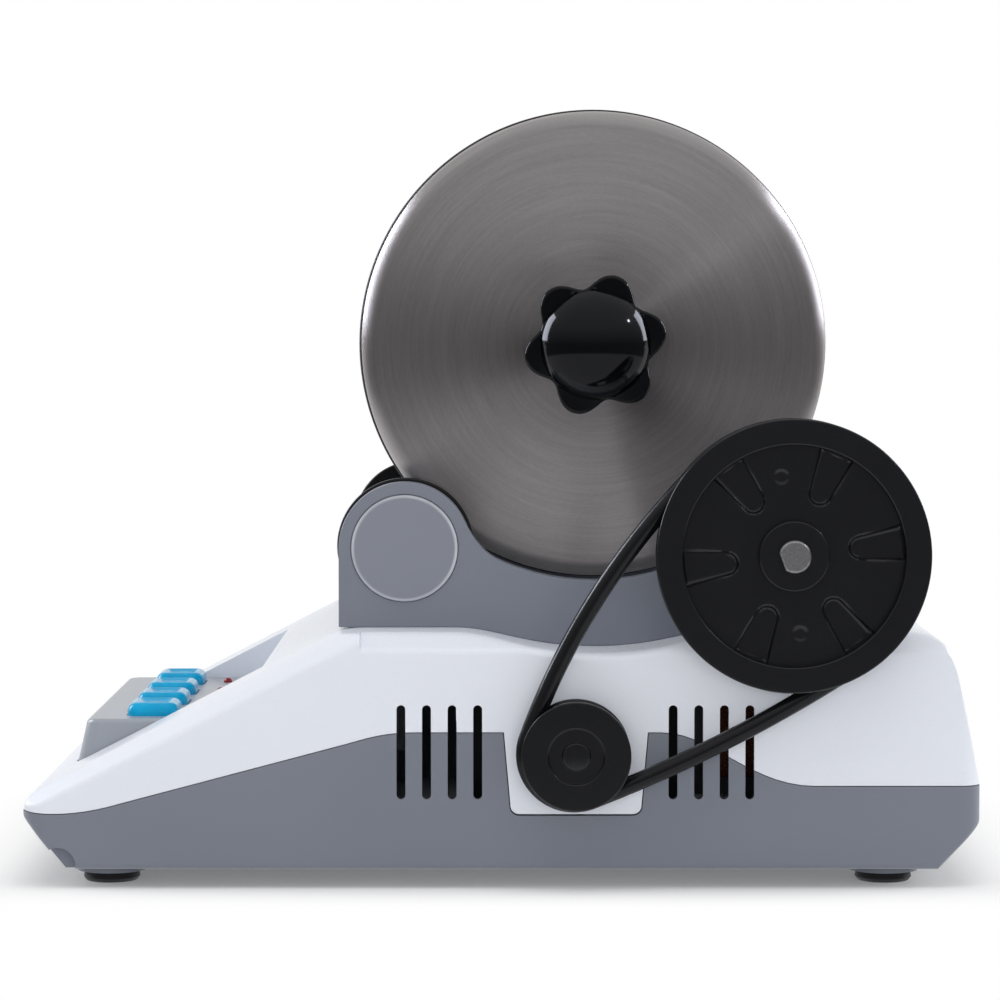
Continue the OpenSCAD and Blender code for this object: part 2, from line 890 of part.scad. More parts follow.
module bracket_screws() color("silver") {
    for (x = bracket_holes, s = [-1, 1])
        translate([x, s * (bracket_y0 + 4), roof_z - wall - 0.2]) {
            translate([0, 0, -2])
                cylinder(r = 3, h = 2);
            translate([0, 0, -0.1])
                cylinder(r = 1.5, h = 14);
        }
}

// The barrel is a thick rubber cup with a ten-sided inside that lifts the stones as it turns.
module drum_barrel() color("black") {
    difference() {
        turned_y(cradle_x, drum_z)
            polygon(concat(
                [[0, drum_y1], [0, drum_y0 + 2], [neck_r - 5, drum_y0 + 2],
                    [neck_r - 0.3, drum_y0 + lid_edge_r + 1.5], [neck_r - 0.3, drum_y0 + lid_skirt + 0.3], [drum_r, drum_y0 + lid_skirt + 0.3]],
                arc([drum_r - 6, drum_y1 - 6], 6, 0, 90, 6)));
        bar_y(cradle_x, drum_z, mouth_r, drum_y0 - 1, drum_y0 + 2 + seal_t + 3);
        translate([cradle_x, drum_y0 + seal_t + 4.9, drum_z])
            rotate([-90, 0, 0])
                cylinder(r = drum_r - barrel_wall, h = drum_l - seal_t - 4.9 - barrel_wall, $fn = 10);
    }
}

module drum_lid() color("silver") {
    y0 = drum_y0;
    turned_y(cradle_x, drum_z)
        polygon(concat(
            [[stud_r + 0.3, y0 + lid_t], [stud_r + 0.3, y0]],
            arc([lid_r - lid_edge_r, y0 + lid_edge_r], lid_edge_r, 270, 360, 8),
            [[lid_r, y0 + lid_skirt], [lid_r - lid_t, y0 + lid_skirt]],
            arc([lid_r - lid_edge_r, y0 + lid_edge_r], lid_edge_r - lid_t, 360, 270, 8)));
}

module drum_seal() color("dimgray") {
    turned_y(cradle_x, drum_z)
        polygon([[stud_r + 0.1, drum_y0 + lid_t + 0.1], [20, drum_y0 + lid_t + 0.1], [20, drum_y0 + 2],
            [mouth_r - 0.1, drum_y0 + 2], [mouth_r - 0.1, drum_y0 + 2 + seal_t],
            [stud_r + 0.1, drum_y0 + 2 + seal_t]]);
}

module clamp_plate() color("silver") {
    difference() {
        bar_y(cradle_x, drum_z, 55, drum_y0 + 2.1 + seal_t, drum_y0 + 3.5 + seal_t);
        bar_y(cradle_x, drum_z, stud_r, drum_y0, drum_y0 + 20);
    }
}

module clamp_stud() color("silver") {
    union() {
        bar_y(cradle_x, drum_z, stud_r, drum_y0 - stud_end, drum_y0 + 3.6 + seal_t);
        bar_y(cradle_x, drum_z, stud_r + 2, drum_y0 + 3.5 + seal_t, drum_y0 + 7 + seal_t);
    }
}

module knob_washer() color("silver") {
    difference() {
        bar_y(cradle_x, drum_z, 13, drum_y0 - 1, drum_y0 - 0.02);
        bar_y(cradle_x, drum_z, stud_r + 0.3, drum_y0 - 3, drum_y0 + 3);
    }
}

// Six-lobed knob with a domed middle.
lobe_r = 6.6;
lobe_out = 16.1;
dome_r = 17.4;
lobe_deg = 12;
knob_foot = 9;
knob_flat = 13;
knob_dome = 10;
function knob_valley(i) = [cradle_x, drum_z] + 27.3 * [cos(lobe_deg + 30 + 60 * i), sin(lobe_deg + 30 + 60 * i)];

module clamp_knob() color("black") {
    sphere_r = (dome_r * dome_r + knob_dome * knob_dome) / (2 * knob_dome);
    difference() {
        union() {
            difference() {
                bar_y(cradle_x, drum_z, 22.7, knob_y1 - knob_foot - knob_flat, knob_y1 - knob_foot);
                for (i = [0:5])
                    bar_y(knob_valley(i)[0], knob_valley(i)[1], 10.2, knob_y1 - 40, knob_y1 + 1);
            }
            bar_y(cradle_x, drum_z, 12, knob_y1 - knob_foot - 1, knob_y1);
            intersection() {
                translate([cradle_x, knob_y1 - knob_foot - knob_flat - knob_dome + sphere_r, drum_z])
                    sphere(r = sphere_r);
                bar_y(cradle_x, drum_z, dome_r, knob_y1 - knob_foot - knob_flat - knob_dome - 1,
                    knob_y1 - knob_foot - 1);
            }
        }
        bar_y(cradle_x, drum_z, 7, knob_y1 - 14, knob_y1 + 1);
    }
}

module knob_insert() color("gold") {
    difference() {
        bar_y(cradle_x, drum_z, 7, knob_y1 - 14, knob_y1);
        bar_y(cradle_x, drum_z, stud_r + run_gap, knob_y1 - 13, knob_y1 + 1);
    }
}

// Every piece is drawn about the mid-plane of the housing and then moved to the common origin.
module put() {
    translate([0, mid_y, 0])
        children();
}

put() base_pan();
put() top_cover();
put() control_console();
put() key_button(0);  // power_button
put() key_button(1);  // timer_button
put() key_button(2);  // direction_button
put() key_button(3);  // speed_button
put() indicator_leds();
put() control_board();
put() key_switches();
put() belt_side_bracket();
put() far_side_bracket();
put() bearing_caps();
put() shaft_bushes();
put() front_roller_shaft();
put() roller_sleeve(front_x);  // front_roller_sleeve
put() roller_flanges(front_x);  // front_roller_flanges
put() roller_clips(front_x);  // front_roller_clips
put() rear_roller_shaft();
put() roller_sleeve(rear_x);  // rear_roller_sleeve
put() roller_flanges(rear_x);  // rear_roller_flanges
put() roller_clips(rear_x);  // rear_roller_clips
put() driven_pulley();
put() motor_pulley();
put() drive_belt();
put() motor_stator();
put() motor_windings();
put() motor_rotor();
put() motor_shaft();
put() motor_front_plate();
put() motor_rear_plate();
put() motor_mount();
put() transformer_core();
put() transformer_coil();
put() cord_gland();
put() foot(foot_x0, -foot_y);  // front_left_foot
put() foot(foot_x0, foot_y);  // front_right_foot
put() foot(foot_x1, -foot_y);  // rear_left_foot
put() foot(foot_x1, foot_y);  // rear_right_foot
put() foot_screws();
put() housing_screws();
put() bracket_screws();
put() motor_screws();
put() board_screws();
put() drum_barrel();
put() drum_lid();
put() drum_seal();
put() clamp_plate();
put() clamp_stud();
put() knob_washer();
put() clamp_knob();
put() knob_insert();
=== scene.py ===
import math

import bmesh
import bpy
import numpy as np
from mathutils import Matrix, Vector


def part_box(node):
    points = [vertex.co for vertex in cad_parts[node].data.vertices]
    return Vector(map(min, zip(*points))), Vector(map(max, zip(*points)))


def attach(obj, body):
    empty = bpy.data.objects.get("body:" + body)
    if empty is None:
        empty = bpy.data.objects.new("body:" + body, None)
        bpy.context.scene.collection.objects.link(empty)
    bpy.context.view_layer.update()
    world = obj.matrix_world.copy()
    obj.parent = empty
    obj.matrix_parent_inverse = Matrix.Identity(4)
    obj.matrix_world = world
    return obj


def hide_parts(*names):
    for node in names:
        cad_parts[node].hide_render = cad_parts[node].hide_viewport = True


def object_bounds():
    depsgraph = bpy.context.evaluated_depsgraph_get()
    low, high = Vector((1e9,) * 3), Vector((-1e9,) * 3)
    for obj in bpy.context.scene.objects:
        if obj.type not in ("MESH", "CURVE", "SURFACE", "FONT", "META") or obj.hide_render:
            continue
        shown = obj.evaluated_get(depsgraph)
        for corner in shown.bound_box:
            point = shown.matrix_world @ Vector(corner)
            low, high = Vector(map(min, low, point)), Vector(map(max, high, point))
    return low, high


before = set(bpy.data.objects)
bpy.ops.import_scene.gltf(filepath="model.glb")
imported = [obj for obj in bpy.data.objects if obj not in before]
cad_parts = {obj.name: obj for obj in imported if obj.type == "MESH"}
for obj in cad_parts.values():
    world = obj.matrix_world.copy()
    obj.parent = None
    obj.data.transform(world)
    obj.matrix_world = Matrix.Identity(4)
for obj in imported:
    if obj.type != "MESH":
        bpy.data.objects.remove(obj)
cad_lo, cad_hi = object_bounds()

# ------------------------------------------------------------------ base pan
# The lower half of the housing: an injection-moulded tray in grey ABS with sloping ends. It
# carries the motor and takes the feet; a tongue of the cover reaches down into its belt side.
MM = 0.001


def tone(code):
    """Linear colour of an sRGB hex value."""
    parts = [int(code[i:i + 2], 16) / 255 for i in (1, 3, 5)]
    return [c / 12.92 if c <= 0.04045 else ((c + 0.055) / 1.055) ** 2.4 for c in parts] + [1.0]


def add(tree, kind, inputs=None, **settings):
    """Adds a node with its settings. An input that is a socket is linked, any other is set."""
    node = tree.nodes.new(kind)
    for key, value in settings.items():
        setattr(node, key, value)
    for key, value in (inputs or {}).items():
        if isinstance(value, bpy.types.NodeSocket):
            tree.links.new(value, node.inputs[key])
        else:
            node.inputs[key].default_value = value
    return node


def blank(holder):
    """The emptied node tree of a material or a world."""
    holder.use_nodes = True
    holder.node_tree.nodes.clear()
    return holder.node_tree


def num(tree, operation, a, b):
    """The result of a calculation with two numbers."""
    return add(tree, "ShaderNodeMath", {0: a, 1: b}, operation=operation).outputs[0]


def mapped(tree, value, lo, hi, first=0.0, last=1.0, **how):
    """A number moved from one span to another."""
    return add(tree, "ShaderNodeMapRange", {0: value, 1: lo, 2: hi, 3: first, 4: last}, **how).outputs[0]


def linked(name, data):
    """A new object in the scene."""
    thing = bpy.data.objects.new(name, data)
    bpy.context.scene.collection.objects.link(thing)
    return thing


def surface(name, light, dark, rough, grain, relief, pattern=None, drift=30, **fixed):
    """A material whose two close colours drift over the surface while a fine grain breaks its
    gloss. grain and relief are in mm and microns. pattern adds its own height or colour mask."""
    material = bpy.data.materials.new(name)
    tree = blank(material)
    place = add(tree, "ShaderNodeTexCoord").outputs["Object"]
    cloud = add(tree, "ShaderNodeTexNoise", {"Vector": place, "Scale": 1000 / drift, "Detail": 2.0})
    fine = add(tree, "ShaderNodeTexNoise", {"Vector": place, "Scale": 1000 / grain, "Detail": 3.0})
    mask, height = pattern(tree, place) if pattern else (None, None)
    colour = add(tree, "ShaderNodeMix", {0: cloud.outputs[0], 6: tone(dark), 7: tone(light)},
                 data_type="RGBA").outputs[2]
    if mask:
        colour = add(tree, "ShaderNodeMix", {0: mask, 6: colour, 7: tone(dark)},
                     data_type="RGBA").outputs[2]
    gloss = mapped(tree, fine.outputs[0], 0.3, 0.7, *rough)
    bump = add(tree, "ShaderNodeBump", {"Height": fine.outputs[0], "Strength": 1.0,
               "Distance": relief * 1e-6}).outputs[0]
    if height:
        bump = add(tree, "ShaderNodeBump", {"Height": height, "Strength": 1.0,
                   "Distance": relief * 1e-6, "Normal": bump}).outputs[0]
    shader = add(tree, "ShaderNodeBsdfPrincipled",
                 {"Base Color": colour, "Roughness": gloss, "Normal": bump})
    for key, value in fixed.items():
        shader.inputs[key.replace("_", " ")].default_value = value
    add(tree, "ShaderNodeOutputMaterial", {"Surface": shader.outputs[0]})
    return material


def mm_box(node):
    """Lowest and highest corner of a CAD node, in millimetres."""
    lo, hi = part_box(node)
    return lo / MM, hi / MM


def bezier(a, b, c, d, steps):
    """Points on a cubic curve."""
    t = np.linspace(0, 1, steps + 1)[:, None]
    a, b, c, d = map(np.array, (a, b, c, d))
    return ((1 - t) ** 3 * a + 3 * t * (1 - t) ** 2 * b + 3 * t * t * (1 - t) * c + t ** 3 * d).tolist()


def arc(centre, radius, start, end, steps):
    """Points on an arc, with angles in degrees."""
    return [(centre[0] + radius * math.cos(math.radians(a)), centre[1] + radius * math.sin(math.radians(a)))
            for a in np.linspace(start, end, steps + 1)]


def rounded(points, radii, steps=5, ring=True):
    """An outline with its corners rounded. radii is one radius or one for each corner."""
    radii = [radii] * len(points) if isinstance(radii, (int, float)) else radii
    out, count = [], len(points)
    for i, (p, r) in enumerate(zip(points, radii)):
        if not ring and i in (0, count - 1):
            out.append(tuple(p))
            continue
        p, a, b = Vector(p), Vector(points[i - 1]), Vector(points[(i + 1) % count])
        u, v = a - p, b - p
        if r <= 0:
            out.append(tuple(p))
            continue
        if min(u.length, v.length) < 1e-6:
            out += [tuple(p)] * (steps + 1)
            continue
        half = u.angle(v) / 2
        run = min(r / math.tan(half) if half < 1.5697 else 0, 0.49 * u.length, 0.49 * v.length)
        if run < 1e-6:
            out += [tuple(p)] * (steps + 1)
            continue
        reach = run * math.tan(half)
        centre = p + (u.normalized() + v.normalized()).normalized() * (reach / math.sin(half))
        s, e = p + u.normalized() * run - centre, p + v.normalized() * run - centre
        first = math.atan2(s.y, s.x)
        sweep = (math.atan2(e.y, e.x) - first + math.pi) % (2 * math.pi) - math.pi
        out += [(centre.x + reach * math.cos(first + sweep * k / steps),
                 centre.y + reach * math.sin(first + sweep * k / steps)) for k in range(steps + 1)]
    return out


def skin(bm, rings, caps=True, loop=False):
    """Joins equal rings of points into a closed skin."""
    rows = [[bm.verts.new(p) for p in ring] for ring in rings]
    for a, b in zip(rows, rows[1:] + ([rows[0]] if loop else [])):
        for i in range(len(a)):
            j = (i + 1) % len(a)
            bm.faces.new((a[i], a[j], b[j], b[i]))
    if caps and not loop:
        bm.faces.new(rows[0][::-1])
        bm.faces.new(rows[-1])
    return bm


def solid(rings, **how):
    """A closed mesh object, without material, for joining to or cutting from another."""
    return body_of(skin(bmesh.new(), rings, **how))


def body_of(bm):
    """A working object made from a closed mesh in millimetres."""
    bmesh.ops.remove_doubles(bm, verts=bm.verts, dist=1e-4)
    bmesh.ops.dissolve_degenerate(bm, edges=bm.edges, dist=1e-4)
    bmesh.ops.recalc_face_normals(bm, faces=bm.faces)
    mesh = bpy.data.meshes.new("work")
    bm.to_mesh(mesh)
    bm.free()
    return linked("work", mesh)


def settle(work):
    """Applies an object's modifiers to its mesh."""
    bpy.context.view_layer.update()
    mesh = bpy.data.meshes.new_from_object(work.evaluated_get(bpy.context.evaluated_depsgraph_get()))
    old = work.data
    work.modifiers.clear()
    work.data = mesh
    bpy.data.meshes.remove(old)
    return work


def cut(work, *tools, operation="DIFFERENCE"):
    """Cuts tools from a working object, or joins them to it, and removes them."""
    for tool in tools:
        step = work.modifiers.new("cut", "BOOLEAN")
        step.operation, step.solver, step.object = operation, "EXACT", tool
        settle(work)
        mesh = tool.data
        bpy.data.objects.remove(tool)
        bpy.data.meshes.remove(mesh)
    return work


def finish(work, name, material, body, slot, *nodes, sharp=38, edge=0, turns=2, limit=50):
    """Makes a working object a finished piece: edges rounded, scaled to metres, shaded, and put
    on its body in place of its CAD nodes."""
    if edge:
        step = work.modifiers.new("edge", "BEVEL")
        step.width, step.segments, step.limit_method = edge, turns, "ANGLE"
        step.angle_limit, step.harden_normals = math.radians(limit), False
        step.use_clamp_overlap = True
        settle(work)
    mesh = work.data
    mesh.transform(Matrix.Scale(MM, 4))
    mesh.polygons.foreach_set("use_smooth", [True] * len(mesh.polygons))
    mesh.set_sharp_from_angle(angle=math.radians(sharp))
    mesh.materials.clear()
    mesh.materials.append(material)
    step = work.modifiers.new("even", "WEIGHTED_NORMAL")
    step.keep_sharp, step.weight = True, 60
    settle(work)
    work.name = work.data.name = name
    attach(work, body)
    if nodes:
        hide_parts(*nodes)
    return work


def drawn(outline, y0, y1):
    """An outline in X and Z drawn out along Y."""
    return solid([[(x, y, z) for x, z in outline] for y in (y0, y1)])


def circle(u, v, r, steps):
    """Points round a centre."""
    return [(u + r * math.cos(a), v + r * math.sin(a))
            for a in np.linspace(0, 2 * math.pi, steps, endpoint=False)]


def rod(x, z, r, y0, y1):
    """A round tool along Y."""
    return drawn(circle(x, z, r, 64), y0, y1)


def rod_x(y, z, r, x0, x1):
    """A round tool along X."""
    return solid([[(x, u, v) for u, v in circle(y, z, r, 48)] for x in (x0, x1)])


def post(x, y, r, z0, z1):
    """A round post or tool along Z."""
    return solid([[(u, v, z) for u, v in circle(x, y, r, 40)] for z in (z0, z1)])


pan_lo, pan_hi = mm_box("base_pan")
cover_hi = mm_box("top_cover")[1]
mid = (pan_lo.y + pan_hi.y) / 2
tip, half_w = pan_hi.x, (pan_hi.y - pan_lo.y) / 2
floor_z, nose_z, roof_z = 6.0, 24.4, cover_hi.z
WALL, GAP, CRADLE_X = 2.5, 0.28, 29.8
NOSE_R, TAIL_R = 8.0, 6.5
SEAM_HIGH, SEAM_LOW = 49.3, 32.5

dip = bezier((-14, roof_z), (-2, roof_z), (8, roof_z - 6), (CRADLE_X, roof_z - 6), 20)
dip += [(2 * CRADLE_X - x, z) for x, z in dip[-2::-1]]
roof_line = (bezier((-tip, nose_z), (-tip + 0.5, nose_z + 4.8), (-tip + 7, nose_z + 8),
                    (-tip + 14.5, nose_z + 11.4), 16)
             + bezier((-58, 76.1), (-53.4, 78.5), (-50, roof_z), (-44, roof_z), 12) + dip
             + bezier((128, roof_z), (137, roof_z), (141, 77), (143, 68), 14) + [(tip, SEAM_LOW)])
seam_line = (bezier((-tip, nose_z), (-tip + 12, 22.6), (-tip + 22, 24.2), (-119.6, 26.8), 12)
             + bezier((-52, 44.7), (-42, 47.3), (-38, SEAM_HIGH), (-26, SEAM_HIGH), 10)
             + bezier((50, SEAM_HIGH), (66, SEAM_HIGH), (78, SEAM_LOW), (98, SEAM_LOW), 14) + [(tip, SEAM_LOW)])


def tongued(grow):
    """The seam on the belt side, which dips around the tongue of the cover."""
    tongue = ([(0.9 - grow, SEAM_HIGH), (2.9 - grow, 27)] + arc((5.7, 26.4), 2.8 + grow, 180, 270, 6)[1:]
              + arc((41.2, 26.4), 2.8 + grow, 270, 360, 6)[:-1] + [(44 + grow, 27), (45.9 + grow, SEAM_HIGH)])
    return [p for p in seam_line if p[0] < 0] + tongue + [p for p in seam_line if p[0] > 49]


def at(line, x):
    """Height of a line at x."""
    return float(np.interp(x, [p[0] for p in line], [p[1] for p in line]))


def half_at(x, inset=0.0):
    """Half width of the housing at x, with its rounded corners."""
    for r, d in ((NOSE_R, x + tip), (TAIL_R, tip - x)):
        r, d = max(r - inset, 0.5), d - inset
        if d < r:
            return half_w - inset - r + math.sqrt(max(r * r - (r - max(d, 0)) ** 2, 0))
    return half_w - inset


def stations(*lines, lo, hi):
    """Places along the housing where a ring is drawn."""
    xs = [p[0] for line in lines for p in line] + list(np.arange(-148, 149, 4.0))
    xs += [-tip + NOSE_R * (1 - math.cos(math.radians(a))) for a in range(0, 91, 9)]
    xs += [tip - TAIL_R * (1 - math.cos(math.radians(a))) for a in range(0, 91, 9)]
    xs = sorted(x for x in xs if lo < x < hi)
    keep = [lo]
    for x in xs:
        if x - keep[-1] > 0.04:
            keep.append(x)
    return keep[:-1] + [hi] if hi - keep[-1] < 0.04 else keep + [hi]


pan_bottom = [(-tip, 22.4), (-tip + 13.6, floor_z), (tip - 13.5, floor_z), (tip, 20)]
pan_seam, far_seam = tongued(0.3), [(x, z - GAP) for x, z in seam_line]
pan_seam = [(x, z - GAP) for x, z in pan_seam]


def pan_ring(x):
    w, low = half_at(x), at(pan_bottom, x)
    half = [(-w, at(pan_seam, x)), (-w, low), (w, low), (w, at(far_seam, x))]
    return [(x, mid + y, z) for y, z in rounded(half, [0, 2.2, 2.2, 0], 5, ring=False)]


def pan_hollow_ring(x, low):
    w = half_at(x, WALL)
    return [(x, mid + y, z) for y, z in ((-w, 62), (-w, low), (w, low), (w, 62))]


NOTCH = (-138.9, 7.4, 5.5, 5)
FEET = [(x, mid + s * 83) for x in (-124, 121.7) for s in (-1, 1)]
HOUSING_SCREWS = [(x, mid + s * 92) for x in (-112, -39, 108) for s in (-1, 1)]
VENT_W, VENT_PITCH, VENT_COUNT, VENT_LO, VENT_HI, VENT_X = 2.8, 8.0, 4, 28.2, 57.8, (-31.3, 53.8)


def geometry_tree(name, output, **kinds):
    """A tree with named inputs and one geometry output, and the sockets of its inputs."""
    tree = bpy.data.node_groups.new(name, "GeometryNodeTree")
    for label, kind in kinds.items():
        tree.interface.new_socket(label.replace("_", " "), in_out="INPUT", socket_type="NodeSocket" + kind)
    tree.interface.new_socket(output, in_out="OUTPUT", socket_type="NodeSocketGeometry")
    return tree, add(tree, "NodeGroupInput").outputs


def repeat(tree, output, material, values):
    """The end of a tree: real copies of an instance on points, with their material."""
    copies = add(tree, "GeometryNodeInstanceOnPoints", values)
    real = add(tree, "GeometryNodeRealizeInstances", {"Geometry": copies.outputs[0]})
    dressed = add(tree, "GeometryNodeSetMaterial", {"Geometry": real.outputs[0], "Material": material})
    add(tree, "NodeGroupOutput", {output: dressed.outputs[0]})


def vent_cutters():
    """A row of upright slots for each group of vents, through both side walls."""
    tree, size = geometry_tree("slot_row", "Slots", Width="Float", Height="Float", Depth="Float",
                               Pitch="Float", Count="Int")
    sheet = add(tree, "GeometryNodeCurvePrimitiveQuadrilateral",
                {"Width": size["Width"], "Height": size["Height"]})
    radius = num(tree, "MULTIPLY", size["Width"], 0.499)
    ends = add(tree, "GeometryNodeFilletCurve", {"Curve": sheet.outputs[0], "Radius": radius,
               "Count": 8, "Limit Radius": True}, mode="POLY")
    face = add(tree, "GeometryNodeFillCurve", {"Curve": ends.outputs[0]}, mode="NGONS")
    depth = add(tree, "ShaderNodeCombineXYZ", {"Z": size["Depth"]})
    block = add(tree, "GeometryNodeExtrudeMesh", {"Mesh": face.outputs[0], "Offset": depth.outputs[0],
                "Offset Scale": 1.0, "Individual": False})
    back = add(tree, "GeometryNodeFlipFaces", {"Mesh": face.outputs[0]})
    whole = add(tree, "GeometryNodeJoinGeometry")
    tree.links.new(block.outputs[0], whole.inputs[0])
    tree.links.new(back.outputs[0], whole.inputs[0])
    shut = add(tree, "GeometryNodeMergeByDistance", {"Geometry": whole.outputs[0], "Distance": 0.0001})
    step = add(tree, "ShaderNodeCombineXYZ", {"X": size["Pitch"]})
    row = add(tree, "GeometryNodeMeshLine", {"Count": size["Count"], "Offset": step.outputs[0]})
    repeat(tree, "Slots", grey_abs, {"Points": row.outputs[0], "Instance": shut.outputs[0]})
    slots = grown(tree, {"Width": VENT_W, "Height": VENT_HI - VENT_LO, "Depth": 2 * half_w + 4,
                         "Pitch": VENT_PITCH, "Count": VENT_COUNT})
    cutters = []
    for start in VENT_X:
        mesh = slots.copy()
        mesh.transform(Matrix.Translation((start, mid + half_w + 2, (VENT_HI + VENT_LO) / 2))
                       @ Matrix.Rotation(math.radians(90), 4, "X"))
        bm = bmesh.new()
        bm.from_mesh(mesh)
        cutters.append(body_of(bm))
    return cutters


def grown(tree, values, points=((0, 0, 0),)):
    """The plain mesh that a Geometry Nodes tree makes, with its inputs set by name."""
    mesh = bpy.data.meshes.new("seed")
    mesh.from_pydata([tuple(p) for p in points], [], [])
    seed = linked("seed", mesh)
    step = seed.modifiers.new("grow", "NODES")
    step.node_group = tree
    for item in tree.interface.items_tree:
        if item.in_out == "INPUT" and item.name in values:
            step[item.identifier] = values[item.name]
    bpy.context.view_layer.update()
    result = bpy.data.meshes.new_from_object(seed.evaluated_get(bpy.context.evaluated_depsgraph_get()))
    bpy.data.objects.remove(seed)
    return result


# Grey ABS from a spark-eroded mould: a satin skin, slightly blue, without visible flow.
grey_abs = surface("moulded_grey_ABS", "#7e838e", "#757a86", (0.34, 0.44), 0.5, 9, drift=60)

pan = solid([pan_ring(x) for x in stations(pan_seam, far_seam, pan_bottom, lo=-tip, hi=tip)])
hollow = solid([pan_hollow_ring(x, z) for x, z in (
    (-tip + 3.4, 22.4), (-tip + 14.8, floor_z + WALL), (tip - 15, floor_z + WALL), (tip - WALL, 20.2))])


def notches(grow):
    """Tools for the finger notches at the front corners."""
    x, z, r, deep = NOTCH
    return [rod(x, z, r + grow, side - deep - grow, side + deep + grow)
            for side in (mid - half_w, mid + half_w)]


cut(hollow, *notches(2))
cut(pan, hollow)
cut(pan, *notches(0))
cut(pan, *[post(x, y, 11, 3.4, floor_z + WALL + 3) for x, y in FEET],
    *[post(x, y, 4, floor_z + 1, floor_z + WALL + 11.5) for x, y in HOUSING_SCREWS], operation="UNION")
cut(pan, *[post(x, y, 1.7, 0, 11) for x, y in FEET],
    *[post(x, y, 3.2, 5, 9) for x, y in HOUSING_SCREWS],
    *[post(x, y, 1.8, 5, 20) for x, y in HOUSING_SCREWS], *vent_cutters())
gland_lo, gland_hi = mm_box("cord_gland")
gland_y, gland_z = (gland_lo.y + gland_hi.y) / 2, (gland_lo.z + gland_hi.z) / 2
cut(pan, rod_x(gland_y, gland_z, 4.7, tip - 6, tip + 2), rod_x(gland_y, gland_z, 6.1, tip - 1.5, tip + 2))
finish(pan, "grey_base_tray", grey_abs, "housing", "grey_plastic", "base_pan", edge=0.35)

# ----------------------------------------------------------------- top cover
# The upper half of the housing: one white ABS moulding with a sloping front, a rounded shoulder
# along both sides, a dip under the drum and a pocket for the controls. Screws hold it from below.
SHOULDER_W, SHOULDER_SLOPE = 8.0, 0.622
SLOPE_X, SLOPE_Z, SLOPE_DEG = -57, 76.4, 27.1
cover_seam = tongued(0.0)


def cover_ring(x):
    w, top = half_at(x), at(roof_line, x)
    plane = SLOPE_Z - (SLOPE_X - x) * math.tan(math.radians(SLOPE_DEG))
    base = max(top, plane) if x < -44 else roof_z
    side = min(base - SHOULDER_SLOPE * (w - half_w + SHOULDER_W), top - 1.2)
    brow = min(half_w - SHOULDER_W + (base - top) / SHOULDER_SLOPE, w - 2.5)
    near, far = at(cover_seam, x), at(seam_line, x)
    near, far = min(near, side - 0.02), min(far, side - 0.02)
    half = [(-w, near), (-w, side), (-brow, top), (brow, top), (w, side), (w, far)]
    return [(x, mid + y, z) for y, z in rounded(half, [0, 2.6, 9, 9, 2.6, 0], 6, ring=False)]


def cover_hollow_ring(x):
    w, top = half_at(x, WALL), at(roof_line, x) - WALL - 0.2
    inner = half_w - SHOULDER_W - 1
    low = top - 5.2
    return [(x, mid + y, z) for y, z in
            ((-w, 0), (-w, low), (-min(inner, w), top), (min(inner, w), top), (w, low), (w, 0))]


console_lo, console_hi = mm_box("control_console")
CONSOLE_W = (console_hi.y - console_lo.y) / 2


def plate_loop(x0, x1, y0, y1, r, z, steps=6):
    """A rounded rectangle at one height."""
    return [(x, y, z) for x, y in rounded([(x0, y0), (x1, y0), (x1, y1), (x0, y1)], r, steps)]


def pocket(grow, z0, z1):
    lo, hi = console_lo, console_hi
    return solid([plate_loop(lo.x - grow, hi.x + grow, lo.y - grow, hi.y + grow, 5, z) for z in (z0, z1)])


def pocket_end(back, side):
    """The back of the pocket leans up to the roof."""
    x, z = console_hi.x, console_hi.z
    return drawn([(x - 4, z + 0.3 - 2 * back), (x + 0.3 + back, z + 0.3 - 2 * back), (x + 10 + back, 68.5),
                  (x + 10 + back, 90), (x - 4, 90)], mid - CONSOLE_W - side, mid + CONSOLE_W + side)


# White ABS, polished less than mirror-bright: soft wide highlights on a cool white skin.
white_abs = surface("moulded_white_ABS", "#e9edf6", "#e5e9f2", (0.26, 0.34), 0.4, 5, drift=80)

cover = solid([cover_ring(x) for x in
               stations(roof_line, cover_seam, seam_line, lo=-tip + 0.05, hi=tip - 0.08)])
inside = [p[0] for p in roof_line if -tip + 3.4 < p[0] < 140]
hollow = solid([cover_hollow_ring(x) for x in [-tip + 3.4] + inside]
               + [[(tip - WALL - 0.3, y, 15 if z > 15 else z) for x, y, z in cover_hollow_ring(140)]])
cut(hollow, pocket(2.4, 42, 90), pocket_end(2.6, 2.7))
cut(cover, hollow, pocket(0.3, 0, 90), pocket_end(0, 0.3))
motor_lo, motor_hi = mm_box("motor_shaft")
motor_x, motor_z = (motor_lo.x + motor_hi.x) / 2, (motor_lo.z + motor_hi.z) / 2
cut(cover, rod(motor_x, motor_z, 6, mid - half_w - 1, mid - half_w + WALL + 1), *vent_cutters())
cut(cover, *[post(x, y, 4, floor_z + WALL + 11.6, roof_z - 4.5) for x, y in HOUSING_SCREWS if x > -40],
    operation="UNION")
cut(cover, *[post(x, y, 1.5, floor_z, floor_z + 23) for x, y in HOUSING_SCREWS if x > -40])
finish(cover, "white_top_cover", white_abs, "housing", "white_plastic", "top_cover", edge=0.35)

# -------------------------------------------------- control console and keys
# A grey ABS panel that snaps into the pocket, with four translucent polycarbonate keys and a red
# lamp behind each. The keys stand on switches on a circuit board that is screwed under the panel.
console_abs = surface("moulded_pale_ABS", "#a0a5ae", "#999ea7", (0.28, 0.36), 0.4, 6, drift=60)
top_z = console_hi.z
KEY_X, KEY_L, KEY_W = -113.5, 16.8, 20.0
KEYS = ["power_button", "timer_button", "direction_button", "speed_button"]
key_y = [sum(c.y for c in mm_box(n)) / 2 for n in KEYS]
LAMP_X = -97.0


